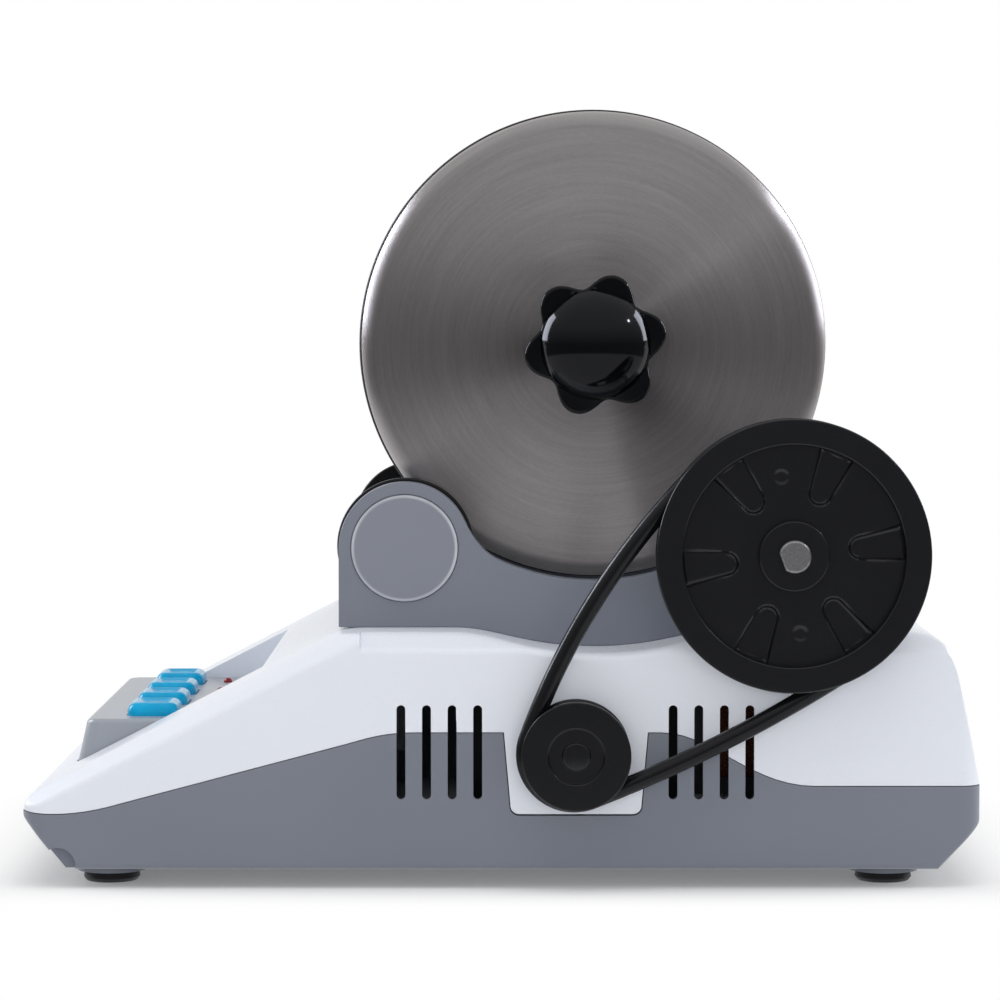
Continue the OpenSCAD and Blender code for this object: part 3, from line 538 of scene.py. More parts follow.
def console_loop(z, inset):
    """The panel's outline at one height; its front face leans back."""
    front = float(np.interp(z, [33, 36, top_z], [0, 0.4, 3.4]))
    lo, hi = console_lo, console_hi
    return plate_loop(lo.x + front + inset, hi.x - inset, lo.y + inset, hi.y - inset, max(5 - inset, 0.6), z, 8)


console = solid([console_loop(z, 0) for z in (33, 36, 40, 44, top_z - 1.4)]
                + [console_loop(top_z - 1.4 + 1.4 * math.sin(a), 1.4 * (1 - math.cos(a)))
                   for a in np.radians([15, 30, 45, 60, 75, 90])])
cut(console, solid([console_loop(z, 2.2) for z in (30, 36, 42, top_z - 2.2)]))


def key_loop(y, grow, z, r=4.0):
    return plate_loop(KEY_X - KEY_L / 2 - grow, KEY_X + KEY_L / 2 + grow, y - KEY_W / 2 - grow,
                      y + KEY_W / 2 + grow, max(r + min(grow, 0), 0.6), z, 7)


cut(console, *[solid([key_loop(y, 0.25, z, 4.2) for z in (40, 60)]) for y in key_y],
    *[post(LAMP_X, y, 1.65, 40, 60) for y in key_y])
board_lo, board_hi = mm_box("control_board")
BOARD_POSTS = [(x, mid + s * 60) for x in (-126, -91) for s in (-1, 1)]
cut(console, *[post(x, y, 3, board_hi.z, top_z - 1) for x, y in BOARD_POSTS], operation="UNION")
finish(console, "control_panel", console_abs, "housing", "console_plastic", "control_console", edge=0.35)

# Clear blue polycarbonate: bright at the edges, where light leaves it, and glossy on top.
blue_pc = surface("translucent_blue_polycarbonate", "#10bcf0", "#08a0d6", (0.12, 0.18), 1.2, 2, drift=6,
                  Transmission_Weight=0.12, IOR=1.5, Specular_IOR_Level=0.2)
KEY_H = mm_box("power_button")[1].z - top_z
for name, y in zip(KEYS, key_y):
    low = top_z - 2.5
    rows = [key_loop(y, 1, low - 1.3), key_loop(y, 1, low + 0.1), key_loop(y, 0, low + 0.1),
            key_loop(y, 0, top_z + 0.9)]
    rows += [key_loop(y, -2.6 * (1 - math.cos(a)), top_z + 0.9 + (KEY_H - 0.95) * math.sin(a))
             for a in np.radians([10, 20, 30, 40, 50, 60, 70, 80, 90])]
    # The top is a shallow dish between its raised lips.
    rows += [key_loop(y, -g, top_z + KEY_H - h)
             for g, h in ((2.8, 0.0), (3.3, 0.15), (4.3, 0.7), (5.6, 0.95), (7.6, 1.0))]
    key = solid(rows)
    stem = post(KEY_X, y, 2.4, board_hi.z + 4.55, low - 1.2)
    cut(key, stem, operation="UNION")
    finish(key, name.replace("button", "key"), blue_pc, name, "blue_plastic", name, sharp=50)


def turned(profile, centre, axis="Y", steps=128, sink=None):
    """A closed profile of radius and height turned about an axis. sink moves points at an angle."""
    bm = bmesh.new()
    rows = []
    for k in range(steps):
        a = 2 * math.pi * k / steps
        c, s = math.cos(a), math.sin(a)
        row = []
        for r, h in profile:
            r, h = sink(r, a, h) if sink else (r, h)
            row.append({"X": (h, centre[0] + r * c, centre[1] + r * s),
                        "Y": (centre[0] + r * c, h, centre[1] + r * s),
                        "Z": (centre[0] + r * c, centre[1] + r * s, h)}[axis])
        rows.append(row)
    return skin(bm, rows, loop=True)


def merged(*bms):
    """Several closed meshes as one working object."""
    whole = bmesh.new()
    for bm in bms:
        bmesh.ops.remove_doubles(bm, verts=bm.verts, dist=1e-4)
        bmesh.ops.recalc_face_normals(bm, faces=bm.faces)
        mesh = bpy.data.meshes.new("shell")
        bm.to_mesh(mesh)
        bm.free()
        whole.from_mesh(mesh)
        bpy.data.meshes.remove(mesh)
    mesh = bpy.data.meshes.new("work")
    whole.to_mesh(mesh)
    whole.free()
    return linked("work", mesh)


# Red epoxy of the lamps: tinted, wet-looking, dark while the machine is off.
lamp_epoxy = surface("red_lamp_epoxy", "#c2242c", "#8e1218", (0.05, 0.1), 1.0, 1, drift=4,
                     Transmission_Weight=0.3, IOR=1.5)
lamp_top = mm_box("indicator_leds")[1].z
lamps = merged(*[turned([(0, board_hi.z), (1.5, board_hi.z), (1.5, lamp_top - 1.5)]
                        + arc((0, lamp_top - 1.5), 1.5, 0, 90, 8)[1:], (LAMP_X, y), "Z", 32) for y in key_y])
finish(lamps, "indicator_lamps", lamp_epoxy, "housing", "lamp_plastic", "indicator_leds")


def dress(node, material):
    """Gives a CAD node that stays its finished material."""
    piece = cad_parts[node]
    if not piece.material_slots:
        piece.data.materials.append(material)
    for place in piece.material_slots:
        place.link = "OBJECT"
        place.material = material


def tracks(tree, place):
    """Copper tracks under the solder mask, 1.5 mm apart, broken where they end."""
    lanes = add(tree, "ShaderNodeTexBrick", {"Vector": place, "Scale": 1000 / 3.0, "Mortar Size": 0.12,
                "Brick Width": 2.4, "Row Height": 0.5})
    return lanes.outputs["Fac"], lanes.outputs["Fac"]


board_mask = surface("green_solder_mask", "#1c6a3c", "#0f4a28", (0.18, 0.3), 1.0, 20, tracks)
dress("control_board", board_mask)
switch_nylon = surface("black_nylon_switches", "#2b2c2f", "#232427", (0.4, 0.5), 0.3, 8)
dress("key_switches", switch_nylon)

# ------------------------------------------------------- motor and transformer
# A shaded-pole motor behind the belt-side wall: punched steel sheets, two coils of enamelled
# wire, a rotor and two cast end plates on a bent steel foot. A small transformer stands beside it.
def bands(tree, place, pitch, direction, **values):
    """Soft lines across one direction, with their pitch in mm."""
    wave = add(tree, "ShaderNodeTexWave", {"Vector": place, "Scale": 314.16 / pitch, **values},
               wave_type="BANDS", bands_direction=direction)
    return wave.outputs["Fac"]


def sheets(tree, place):
    """Edges of 0.5 mm electrical sheets, stacked along Y."""
    return [bands(tree, place, 0.5, "Y", Distortion=0.4)] * 2


def wires(tree, place):
    """Turns of 0.6 mm wire, laid side by side."""
    return [bands(tree, place, 0.6, "DIAGONAL", Distortion=1.5, Detail=1.0)] * 2


lamination = surface("punched_electrical_steel", "#8d8f92", "#5d5f63", (0.35, 0.5), 0.4, 20, sheets,
                     Metallic=0.85)
enamelled = surface("enamelled_copper_wire", "#6e3d22", "#42210f", (0.22, 0.35), 0.5, 60, wires, Metallic=0.7)
cast_zinc = surface("die_cast_zinc", "#a3a5a8", "#8f9195", (0.4, 0.55), 0.6, 18, Metallic=0.9)
bent_steel = surface("zinc_plated_sheet", "#b4b3ab", "#a2a29c", (0.28, 0.4), 0.8, 8, Metallic=1.0)
# The motor mount is coloured near-black, so that it stays as dark as the inside of the housing looks through
# the vents.
vent_dark_steel = surface("near_black_mount_sheet", "#151617", "#101112", (0.5, 0.62), 1.2, 12,
                        Specular_IOR_Level=0.35)


def turning_marks(tree, place):
    """Feed marks of the lathe, drawn 0.25 mm apart so that they can be seen."""
    return None, bands(tree, place, 0.25, "Y", Distortion=0.8)


turned_steel = surface("turned_shaft_steel", "#dddbd8", "#8c8c90", (0.28, 0.42), 0.3, 14,
                       turning_marks, drift=0.7, Metallic=1.0)
for node, material in (("motor_stator", lamination), ("motor_windings", enamelled), ("motor_rotor", lamination),
                       ("motor_shaft", turned_steel), ("motor_front_plate", cast_zinc),
                       ("motor_rear_plate", cast_zinc), ("motor_mount", vent_dark_steel),
                       ("transformer_core", lamination), ("transformer_coil", enamelled)):
    dress(node, material)

# ------------------------------------------------- cradle brackets and bearings
# Two thick grey ABS cheeks screwed onto the cover. Their arc clears the drum, their bosses hold
# sintered bronze bushes for the roller shafts, and flat caps snap over the ends of the bosses.
sleeve_lo, sleeve_hi = mm_box("front_roller_sleeve")
ROLLER_R = (sleeve_hi.z - sleeve_lo.z) / 2
front_x = (sleeve_hi.x + sleeve_lo.x) / 2
rear_x = sum(c.x for c in mm_box("rear_roller_sleeve")) / 2
roller_z = (sleeve_hi.z + sleeve_lo.z) / 2
drum_lo, drum_hi = mm_box("drum_barrel")
DRUM_R = (drum_hi.z - drum_lo.z) / 2
drum_z = (drum_hi.z + drum_lo.z) / 2
BOSS_R, ARC_R, CAP_R, BUSH_R = 21.05, 75.2, 17.0, 8.0
near_lo, near_hi = mm_box("belt_side_bracket")
far_lo, far_hi = mm_box("far_side_bracket")

drop = math.sqrt(ARC_R ** 2 - CRADLE_X ** 2)
arc_start = math.degrees(math.atan2(-drop, -CRADLE_X)) % 360
cheek = [(front_x - BOSS_R, roof_z)] + arc((front_x, roller_z), BOSS_R, 180, 24, 40)
cheek += bezier(cheek[-1], (-8.75, 107.5), (-4.6, 103), (0, drum_z - drop), 8)[1:]
cheek += arc((CRADLE_X, drum_z), ARC_R, arc_start, 270, 24)[1:]
cheek += [(2 * CRADLE_X - x, z) for x, z in cheek[-2::-1]]
cheek += [(x, z) for x, z in dip[::-1]]

for name, node, lo, hi, face in (("belt_side_cheek", "belt_side_bracket", near_lo, near_hi, -1),
                                 ("far_side_cheek", "far_side_bracket", far_lo, far_hi, 1)):
    bracket = drawn(cheek, lo.y, hi.y)
    bores = [rod(x, roller_z, BUSH_R + 0.02, lo.y - 1, hi.y + 1) for x in (front_x, rear_x)]
    outer = lo.y if face < 0 else hi.y
    seats = [rod(x, roller_z, CAP_R + 0.1, outer - 1, outer + 1)
             for x in ((front_x,) if face < 0 else (front_x, rear_x))]
    cut(bracket, *bores, *seats)
    finish(bracket, name, grey_abs, "housing", "grey_plastic", node, edge=0.9, turns=3, limit=40)

cap_lo, cap_hi = mm_box("bearing_caps")
CAP_T = 1.9


def vec(tree, operation, a, b=(0, 0, 0)):
    """The result of a vector calculation; that of LENGTH is a number."""
    node = add(tree, "ShaderNodeVectorMath", {0: a, 1: b}, operation=operation)
    return node.outputs["Value" if operation == "LENGTH" else 0]


def painted_rim_highlight(tree, place):
    """The face of each cap; its rounded rim is left out and keeps a paler colour: a painted highlight."""
    aside = vec(tree, "ABSOLUTE", vec(tree, "SUBTRACT", place, (CRADLE_X * MM, 0, roller_z * MM)))
    aside = vec(tree, "SUBTRACT", aside, ((rear_x - CRADLE_X) * MM, 0, 0))
    reach = vec(tree, "LENGTH", vec(tree, "MULTIPLY", aside, (1, 0, 1)))
    return mapped(tree, reach, (CAP_R - 1.3) * MM, (CAP_R - 0.5) * MM, 1.0, 0.0,
                  interpolation_type="SMOOTHSTEP"), None


# The pale rim of each cap is a painted highlight of its rounded edge; the face keeps the plain dark grey.
cap_abs = surface("moulded_cap_ABS", "#dcdee4", "#848893", (0.3, 0.4), 0.5, 8, painted_rim_highlight, drift=25)


def disc(x, z, r, y0, y1, edge, steps=96):
    """A turned disc with rounded edges."""
    return turned(rounded([(0, y0), (r, y0), (r, y1), (0, y1)], [0, edge, edge, 0], 5, ring=False),
                  (x, z), steps=steps)


caps = merged(disc(front_x, roller_z, CAP_R, cap_lo.y, cap_lo.y + CAP_T, 0.7),
              *[disc(x, roller_z, CAP_R, cap_hi.y - CAP_T, cap_hi.y, 0.7) for x in (front_x, rear_x)])
finish(caps, "bearing_end_caps", cap_abs, "housing", "grey_plastic", "bearing_caps")

# Sintered bronze: a dull brown metal with open pores that hold the oil.
sintered = surface("sintered_bronze", "#8e6a3e", "#75552f", (0.4, 0.6), 0.25, 25, Metallic=1.0)
dress("shaft_bushes", sintered)

# ------------------------------------------------------------------- rollers
# Two ground steel shafts with a rubber sleeve and a disc at each end that keeps the drum in
# place. The rear shaft is longer and ends in a flat for the pulley.
roller_rubber = surface("ground_nitrile_rubber", "#19191c", "#121214", (0.6, 0.75), 0.3, 30, drift=15)
disc_nylon = surface("moulded_black_nylon", "#111214", "#0d0e10", (0.28, 0.38), 0.5, 7,
                     Specular_IOR_Level=0.4)
shaft_lo, shaft_hi = mm_box("rear_roller_shaft")
flange_lo, flange_hi = mm_box("rear_roller_flanges")
SHAFT_R, FLANGE_R, FLANGE_T = (shaft_hi.z - shaft_lo.z) / 2, (flange_hi.z - flange_lo.z) / 2, 2.5
SLEEVE_HALF, DISC_IN, SHAFT_HALF = 64.6, 65, 76.4


def ring_of(x, z, r_in, r_out, y0, y1, edge, steps=128):
    """A turned ring with rounded outer edges."""
    outline = rounded([(r_in, y0), (r_out, y0), (r_out, y1), (r_in, y1)], [0, edge, edge, 0], 4)
    return turned(outline, (x, z), steps=steps)


for side, x in (("front", front_x), ("rear", rear_x)):
    y0, y1 = mid - SLEEVE_HALF, mid + SLEEVE_HALF
    finish(merged(ring_of(x, roller_z, SHAFT_R, ROLLER_R, y0, y1, 0.8)), side + "_roller_rubber", roller_rubber,
           side + "_roller", "roller_rubber", side + "_roller_sleeve")
    rings = []
    for s in (-1, 1):
        a, b = sorted((mid + s * DISC_IN, mid + s * (DISC_IN + FLANGE_T)))
        rings.append(ring_of(x, roller_z, SHAFT_R, FLANGE_R, a, b, 0.7))
        c, d = sorted((mid + s * (DISC_IN + FLANGE_T - 0.1), mid + s * (DISC_IN + FLANGE_T + 0.6)))
        rings.append(ring_of(x, roller_z, SHAFT_R, 9, c, d, 0.2, 64))
    finish(merged(*rings), side + "_roller_discs", disc_nylon, side + "_roller", "black_plastic",
           side + "_roller_flanges")
    dress(side + "_roller_clips", bent_steel)
short = merged(disc(front_x, roller_z, SHAFT_R, mid - SHAFT_HALF, mid + SHAFT_HALF, 0.5, 64))
finish(short, "front_shaft", turned_steel, "front_roller", "steel", "front_roller_shaft")

FLAT_DEG, FLAT_AT, FLAT_LONG = 200.0, 4.1, 16.5
spread = math.degrees(math.acos(FLAT_AT / SHAFT_R))
d_shape = [(x - rear_x, z - roller_z)
           for x, z in arc((rear_x, roller_z), SHAFT_R, FLAT_DEG + spread, FLAT_DEG + 360 - spread, 56)]
# The end is turned to a chamfer, which catches the light all round.
d_rings = [[(rear_x + x * k, shaft_lo.y + y, roller_z + z * k) for x, z in d_shape]
           for k, y in ((0.88, 0.0), (0.89, 0.02), (0.99, 0.5), (1.0, 0.56), (1.0, FLAT_LONG))]
long_shaft = merged(skin(bmesh.new(), d_rings),
                    disc(rear_x, roller_z, SHAFT_R, shaft_lo.y + FLAT_LONG, mid + SHAFT_HALF, 0.4, 64))
finish(long_shaft, "rear_shaft", turned_steel, "rear_roller", "steel", "rear_roller_shaft", sharp=30)

# ---------------------------------------------------------- pulleys and belt
# Two black nylon pulleys and a round rubber belt. The large pulley has six tapered pockets and
# ejector marks in its web, and sits on the flat of the rear shaft; the belt bows outwards.
wheel_lo, wheel_hi = mm_box("driven_pulley")
belt_lo, belt_hi = mm_box("drive_belt")
BELT_R = (belt_hi.y - belt_lo.y) / 2
belt_y = (belt_hi.y + belt_lo.y) / 2
BIG_R, SMALL_R, RIM_W = (wheel_hi.z - wheel_lo.z) / 2, 17.0, 11.0
BIG_BELT_R, SMALL_BELT_R = 39.4, 15.3
RING_R, HUB_R, WEB_T = 34.4, 10.9, 4.0
GROOVE_BOTTOM, GROOVE_TOP, GROOVE_GAP = 2.3, 4.2, 0.3
SPOKE_DEG, EJECTORS, EJECTOR_R = 7.0, ((-3.9, 24.4), (2.1, -24.1)), 2.1
POCKET_R, POCKET_IN, POCKET_OUT, POCKET_DEEP = 3.3, 20.7, 33.9, 1.3
wheel_nylon = surface("moulded_glass_filled_nylon", "#0f1014", "#0b0c0f", (0.18, 0.26), 0.35, 3,
                      drift=22, Specular_IOR_Level=0.7)


def web_relief(r, a, h):
    """Puts the pockets and ejector marks in the front face of the web, and the flat in the bore."""
    if abs(r - SHAFT_R) < 1e-6:
        away = math.cos(a - math.radians(FLAT_DEG))
        return (min(r, FLAT_AT / away) if away > 0.1 else r), h
    if abs(h - (belt_y - WEB_T / 2)) > 1e-6 or not HUB_R < r < RING_R:
        return r, h
    best = 0.0
    for k in range(6):
        turn = a - math.radians(SPOKE_DEG + 60 * k)
        u, v = r * math.cos(turn), r * math.sin(turn)
        if u < POCKET_IN:
            inside = POCKET_R - math.hypot(u - POCKET_IN, v)
        else:
            inside = min(POCKET_R + (u - 20.3) * 1.9 / 13.2 - abs(v), POCKET_OUT - u)
        t = min(max(inside / 0.9 + 0.5, 0), 1)
        best = max(best, POCKET_DEEP * t * t * (3 - 2 * t))
    x, z = r * math.cos(a), r * math.sin(a)
    for ex, ez in EJECTORS:
        t = min(max((EJECTOR_R - math.hypot(x - ex, z - ez)) / 0.4 + 0.5, 0), 1)
        best = max(best, 0.3 * t)
    return r, h + best


front, back = belt_y - RIM_W / 2, belt_y + RIM_W / 2
groove = BIG_BELT_R - BELT_R - GROOVE_GAP
face_y = belt_y - WEB_T / 2
rim = rounded([(RING_R, face_y), (RING_R, front), (BIG_R, front), (BIG_R, belt_y - GROOVE_TOP),
               (groove, belt_y - GROOVE_BOTTOM), (groove, belt_y + GROOVE_BOTTOM), (BIG_R, belt_y + GROOVE_TOP),
               (BIG_R, back), (RING_R, back), (RING_R, belt_y + WEB_T / 2), (HUB_R, belt_y + WEB_T / 2),
               (HUB_R, back + 1), (SHAFT_R, back + 1)],
              [0.5, 0.5, 0.5, 0.35, 0.5, 0.5, 0.35, 0.5, 0.5, 0.5, 0.5, 0.5, 0], 4, ring=False)
hub = rounded([(SHAFT_R, belt_y - 5.3), (HUB_R, belt_y - 5.3), (HUB_R, face_y)], [0, 0.5, 0], 4, ring=False)
web = [(r, face_y) for r in np.arange(HUB_R + 0.05, RING_R, 0.42)]
wheel = merged(turned(rim + hub + web, (rear_x, roller_z), steps=300, sink=web_relief))
finish(wheel, "large_pulley", wheel_nylon, "rear_roller", "black_plastic", "driven_pulley", sharp=42)
small_centre = (motor_x - 0.6, motor_z + 0.2)
groove = SMALL_BELT_R - 0.64 - BELT_R - GROOVE_GAP
profile = rounded([(0, front + 0.4), (4.4, front + 0.4), (4.4, front + 1.6), (8.6, front + 1.6), (8.6, front),
                   (SMALL_R, front), (SMALL_R, belt_y - GROOVE_TOP), (groove, belt_y - GROOVE_BOTTOM),
                   (groove, belt_y + GROOVE_BOTTOM), (SMALL_R, belt_y + GROOVE_TOP), (SMALL_R, back),
                   (3.0, back), (3.0, front + 4), (0, front + 4)],
                  [0, 0.7, 0.3, 0.3, 0.5, 0.5, 0.35, 0.5, 0.5, 0.35, 0.5, 0, 0, 0], 5, ring=False)
finish(merged(turned(profile, (motor_x, motor_z), steps=160)), "motor_belt_pulley", wheel_nylon,
       "motor_spindle", "black_plastic", "motor_pulley", sharp=42)


def span_centre(radius, side):
    """Centre of the arc that touches both belt arcs from outside."""
    big, small = Vector((rear_x, roller_z)), Vector(small_centre)
    to_big, to_small, gap = radius - BIG_BELT_R, radius - SMALL_BELT_R, (small - big).length
    along = (small - big) / gap
    step = (to_big ** 2 - to_small ** 2 + gap ** 2) / (2 * gap)
    return big + along * step + side * math.sqrt(to_big ** 2 - step ** 2) * Vector((-along.y, along.x))


def heading(a, b):
    return math.degrees(math.atan2(b[1] - a[1], b[0] - a[0]))


SLACK_R, TIGHT_R = 230, 445
slack, tight = span_centre(SLACK_R, 1), span_centre(TIGHT_R, -1)
big_centre = (rear_x, roller_z)
path = []
for centre, radius, a0, a1, steps in (
        (big_centre, BIG_BELT_R, heading(tight, big_centre), heading(slack, big_centre), 110),
        (slack, SLACK_R, heading(slack, big_centre), heading(slack, small_centre), 60),
        (small_centre, SMALL_BELT_R, heading(slack, small_centre), heading(tight, small_centre), 70),
        (tight, TIGHT_R, heading(tight, small_centre), heading(tight, big_centre), 60)):
    sweep = (a1 - a0) % 360
    for k in range(steps):
        a = math.radians(a0 + sweep * k / steps)
        c, s = math.cos(a), math.sin(a)
        path.append((centre[0] + radius * c, centre[1] + radius * s, c, s))
rows = [[(x + BELT_R * math.cos(t) * nx, belt_y + BELT_R * math.sin(t), z + BELT_R * math.cos(t) * nz)
         for t in np.linspace(0, 2 * math.pi, 28, endpoint=False)] for x, z, nx, nz in path]
# Extruded polyurethane-coated rubber: a smooth skin with a narrow, bright line of light.
belt_rubber = surface("extruded_belt_rubber", "#101113", "#0b0c0e", (0.2, 0.27), 0.8, 4, drift=10,
                      Specular_IOR_Level=0.4)
finish(merged(skin(bmesh.new(), rows, loop=True)), "round_belt", belt_rubber,
       "housing", "belt_rubber", "drive_belt")

# ------------------------------------------------------------- barrel and lid
# A thick moulded rubber barrel, closed by a spun stainless lid with a circular brushed face and
# a rolled edge, over a rubber seal and a clamp plate.
drum_rubber = surface("moulded_barrel_rubber", "#17171a", "#101012", (0.5, 0.62), 0.6, 22, drift=25)
lid_lo, lid_hi = mm_box("drum_lid")
LID_R, LID_T, LID_EDGE, LID_SKIRT = (lid_hi.z - lid_lo.z) / 2, 1.0, 5.0, 15.0
y0, y1 = mid - 63.5, mid + 63.5
NECK_R, MOUTH_R, LID_HOLE_R = LID_R - LID_T, 66.0, 4.3
SIDE_T, MOUTH_T, BACK_T = 9, 13.1, 8
shell = rounded([(0, y1), (DRUM_R, y1), (DRUM_R, y0 + LID_SKIRT + 0.3), (NECK_R - 0.3, y0 + LID_SKIRT + 0.3),
                 (NECK_R - 0.3, y0 + 6.5), (NECK_R - 5, y0 + 2), (MOUTH_R, y0 + 2), (MOUTH_R, y0 + MOUTH_T),
                 (DRUM_R - SIDE_T, y0 + MOUTH_T), (DRUM_R - SIDE_T, y1 - BACK_T), (0, y1 - BACK_T)],
                [0, 6, 1.6, 0.5, 0.5, 0.5, 0.5, 0.5, 0.5, 4, 0], 6, ring=False)
finish(merged(turned(shell, (CRADLE_X, drum_z), steps=200)), "rubber_barrel", drum_rubber,
       "drum", "drum_rubber", "drum_barrel")


def brushed_lid():
    """Circular brushing: the marks run round the centre, so light spreads outwards from it."""
    material = bpy.data.materials.new("circular_brushed_stainless")
    tree = blank(material)
    place = add(tree, "ShaderNodeTexCoord").outputs["Object"]
    flat = vec(tree, "MULTIPLY", vec(tree, "SUBTRACT", place, (CRADLE_X * MM, 0, drum_z * MM)), (1, 0, 1))
    radius = vec(tree, "LENGTH", flat)
    way = add(tree, "ShaderNodeSeparateXYZ", {0: vec(tree, "NORMALIZE", flat)}).outputs

    def rings(per_mm, around):
        """Noise that is fine across the rings and long around them."""
        where = add(tree, "ShaderNodeCombineXYZ", {"X": num(tree, "MULTIPLY", radius, per_mm / MM),
                    "Y": num(tree, "MULTIPLY", way[0], around), "Z": num(tree, "MULTIPLY", way[2], around)})
        return add(tree, "ShaderNodeTexNoise", {"Vector": where.outputs[0], "Scale": 1.0, "Detail": 3.0,
                   "Roughness": 0.6}).outputs[0]

    streak, band = rings(5.0, 30.0), rings(0.9, 1.6)
    shade = mapped(tree, num(tree, "ADD", streak, band), 0.5, 1.5)
    colour = add(tree, "ShaderNodeMix", {0: shade, 6: tone("#bdb8b6"), 7: tone("#e2dddb")},
                 data_type="RGBA").outputs[2]
    rough = mapped(tree, streak, 0.3, 0.7, 0.36, 0.46)
    bump = add(tree, "ShaderNodeBump", {"Height": streak, "Strength": 0.55, "Distance": 6e-6}).outputs[0]
    along = add(tree, "ShaderNodeTangent", direction_type="UV_MAP", uv_map="brushing").outputs[0]
    shader = add(tree, "ShaderNodeBsdfPrincipled", {"Base Color": colour, "Roughness": rough, "Normal": bump,
                 "Tangent": along, "Metallic": 1.0, "Anisotropic": 0.95})
    add(tree, "ShaderNodeOutputMaterial", {"Surface": shader.outputs[0]})
    return material


stainless = brushed_lid()
edge_in = LID_R - LID_EDGE
outer = [(r, y0) for r in np.linspace(LID_HOLE_R, edge_in, 24)]
outer += arc((edge_in, y0 + LID_EDGE), LID_EDGE, 270, 360, 14)[1:]
outer += [(LID_R, y0 + LID_SKIRT - 0.3), (LID_R - 0.3, y0 + LID_SKIRT)]
inner = [(LID_R - LID_T + 0.2, y0 + LID_SKIRT)] + arc((edge_in, y0 + LID_EDGE), LID_EDGE - LID_T, 360, 270, 14)
inner += [(LID_HOLE_R, y0 + LID_T)]
lid = merged(turned(outer + inner, (CRADLE_X, drum_z), steps=256))
flow = lid.data.uv_layers.new(name="brushing")
for face in lid.data.polygons:
    turns = []
    for loop in face.loop_indices:
        p = lid.data.vertices[lid.data.loops[loop].vertex_index].co
        turns.append(math.atan2(p.z - drum_z, p.x - CRADLE_X) / (2 * math.pi))
    if max(turns) - min(turns) > 0.5:
        turns = [t + 1 if t < 0 else t for t in turns]
    for loop, t in zip(face.loop_indices, turns):
        p = lid.data.vertices[lid.data.loops[loop].vertex_index].co
        flow.data[loop].uv = (math.hypot(p.z - drum_z, p.x - CRADLE_X) + (p.y - y0), t * 20)
finish(lid, "stainless_lid", stainless, "drum", "stainless", "drum_lid")
seal_rubber = surface("grey_seal_rubber", "#55565a", "#4b4c50", (0.55, 0.7), 0.5, 14)
dress("drum_seal", seal_rubber)
dress("clamp_plate", bent_steel)
dress("clamp_stud", turned_steel)
dress("knob_washer", bent_steel)

# ---------------------------------------------------------------- clamp knob
# A six-lobed knob of polished black phenolic with a domed middle, moulded round a brass thread
# insert. It screws onto the stud in the middle of the lid and presses the lid onto the seal.
knob_lo, knob_hi = mm_box("clamp_knob")
KNOB_R, VALLEY_R, DOME_R, LOBE_DEG, FOOT, FLAT = 22.7, 17.8, 17.4, 12.0, 9.0, 13.0
FRONT_EDGE, BACK_EDGE = (1.2, 1.1), 1.8
knob_back, knob_front = knob_hi.y, knob_lo.y
rim_front = knob_back - FOOT - FLAT
dome_h = rim_front - knob_front
phenolic = surface("polished_phenolic", "#06070a", "#040507", (0.06, 0.1), 1.5, 1, drift=20,
                   Specular_IOR_Level=0.3)
brass = surface("machined_brass", "#b4914e", "#9c7b3c", (0.3, 0.4), 0.3, 6, turning_marks, Metallic=1.0)
dress("knob_insert", brass)


def lobe(a, inset):
    """Radius of the lobed outline at an angle."""
    wave = 0.5 + 0.5 * math.cos(6 * (a - math.radians(LOBE_DEG)))
    return VALLEY_R + (KNOB_R - VALLEY_R) * wave * (1.35 - 0.35 * wave) - inset


sphere_r = (DOME_R ** 2 + dome_h ** 2) / (2 * dome_h)
levels = [(None, sphere_r * math.sin(t), knob_front + sphere_r * (1 - math.cos(t)))
          for t in np.linspace(0.0, math.asin(DOME_R / sphere_r), 22)]
# A fine groove parts the dome from the lobed rim, whose edges are rounded.
levels += [(None, DOME_R + 0.02, rim_front + 0.25)]
levels += [(FRONT_EDGE[0] * (1 - math.sin(t)), None, rim_front + FRONT_EDGE[1] * (1 - math.cos(t)))
           for t in np.radians([0, 20, 40, 60, 75, 90])]
rim_back = knob_back - FOOT
levels += [(0.0, None, y) for y in np.linspace(rim_front + 2.2, rim_back - 2.2, 6)]
levels += [(BACK_EDGE * (1 - math.cos(t)), None, rim_back - BACK_EDGE * (1 - math.sin(t)))
           for t in np.radians([0, 25, 50, 75, 90])]
levels += [(None, r, y) for r, y in (
    (12.6, rim_back), (12.0, rim_back + 0.6), (12.0, knob_back - 0.4), (11.6, knob_back), (7.0, knob_back),
    (7.0, knob_back - 14), (0.0, knob_back - 14))]
STEPS = 216
rows = []
for k in range(STEPS):
    a = 2 * math.pi * k / STEPS
    row = []
    for inset, r, y in levels:
        r = lobe(a, inset) if r is None else r
        row.append((CRADLE_X + r * math.cos(a), y, drum_z + r * math.sin(a)))
    rows.append(row)
finish(merged(skin(bmesh.new(), rows, loop=True)), "clamp_knob_body", phenolic, "knob",
       "knob_plastic", "clamp_knob", sharp=60)

# ------------------------------------------------ feet, cord inlet and screws
# Four soft rubber feet are screwed under the tray, and zinc-plated screws with cross recesses
# close the housing from below. The mains cord enters the rear wall through a black nylon gland.
foot_rubber = surface("soft_foot_rubber", "#141517", "#0f0f11", (0.55, 0.7), 0.5, 20)
for node in ("front_left_foot", "front_right_foot", "rear_left_foot", "rear_right_foot"):
    lo, hi = mm_box(node)
    at_x, at_y, r = (lo.x + hi.x) / 2, (lo.y + hi.y) / 2, (hi.x - lo.x) / 2
    profile = rounded([(3.4, 0), (r - 0.9, 0), (r, 1.2), (r - 0.4, hi.z), (1.6, hi.z), (1.6, 1.6), (3.4, 1.6)],
                      [0.3, 0.6, 0.5, 0.2, 0, 0, 0], 4)
    finish(merged(turned(profile, (at_x, at_y), "Z", 72)), node + "_pad", foot_rubber, "housing",
           "foot_rubber", node)

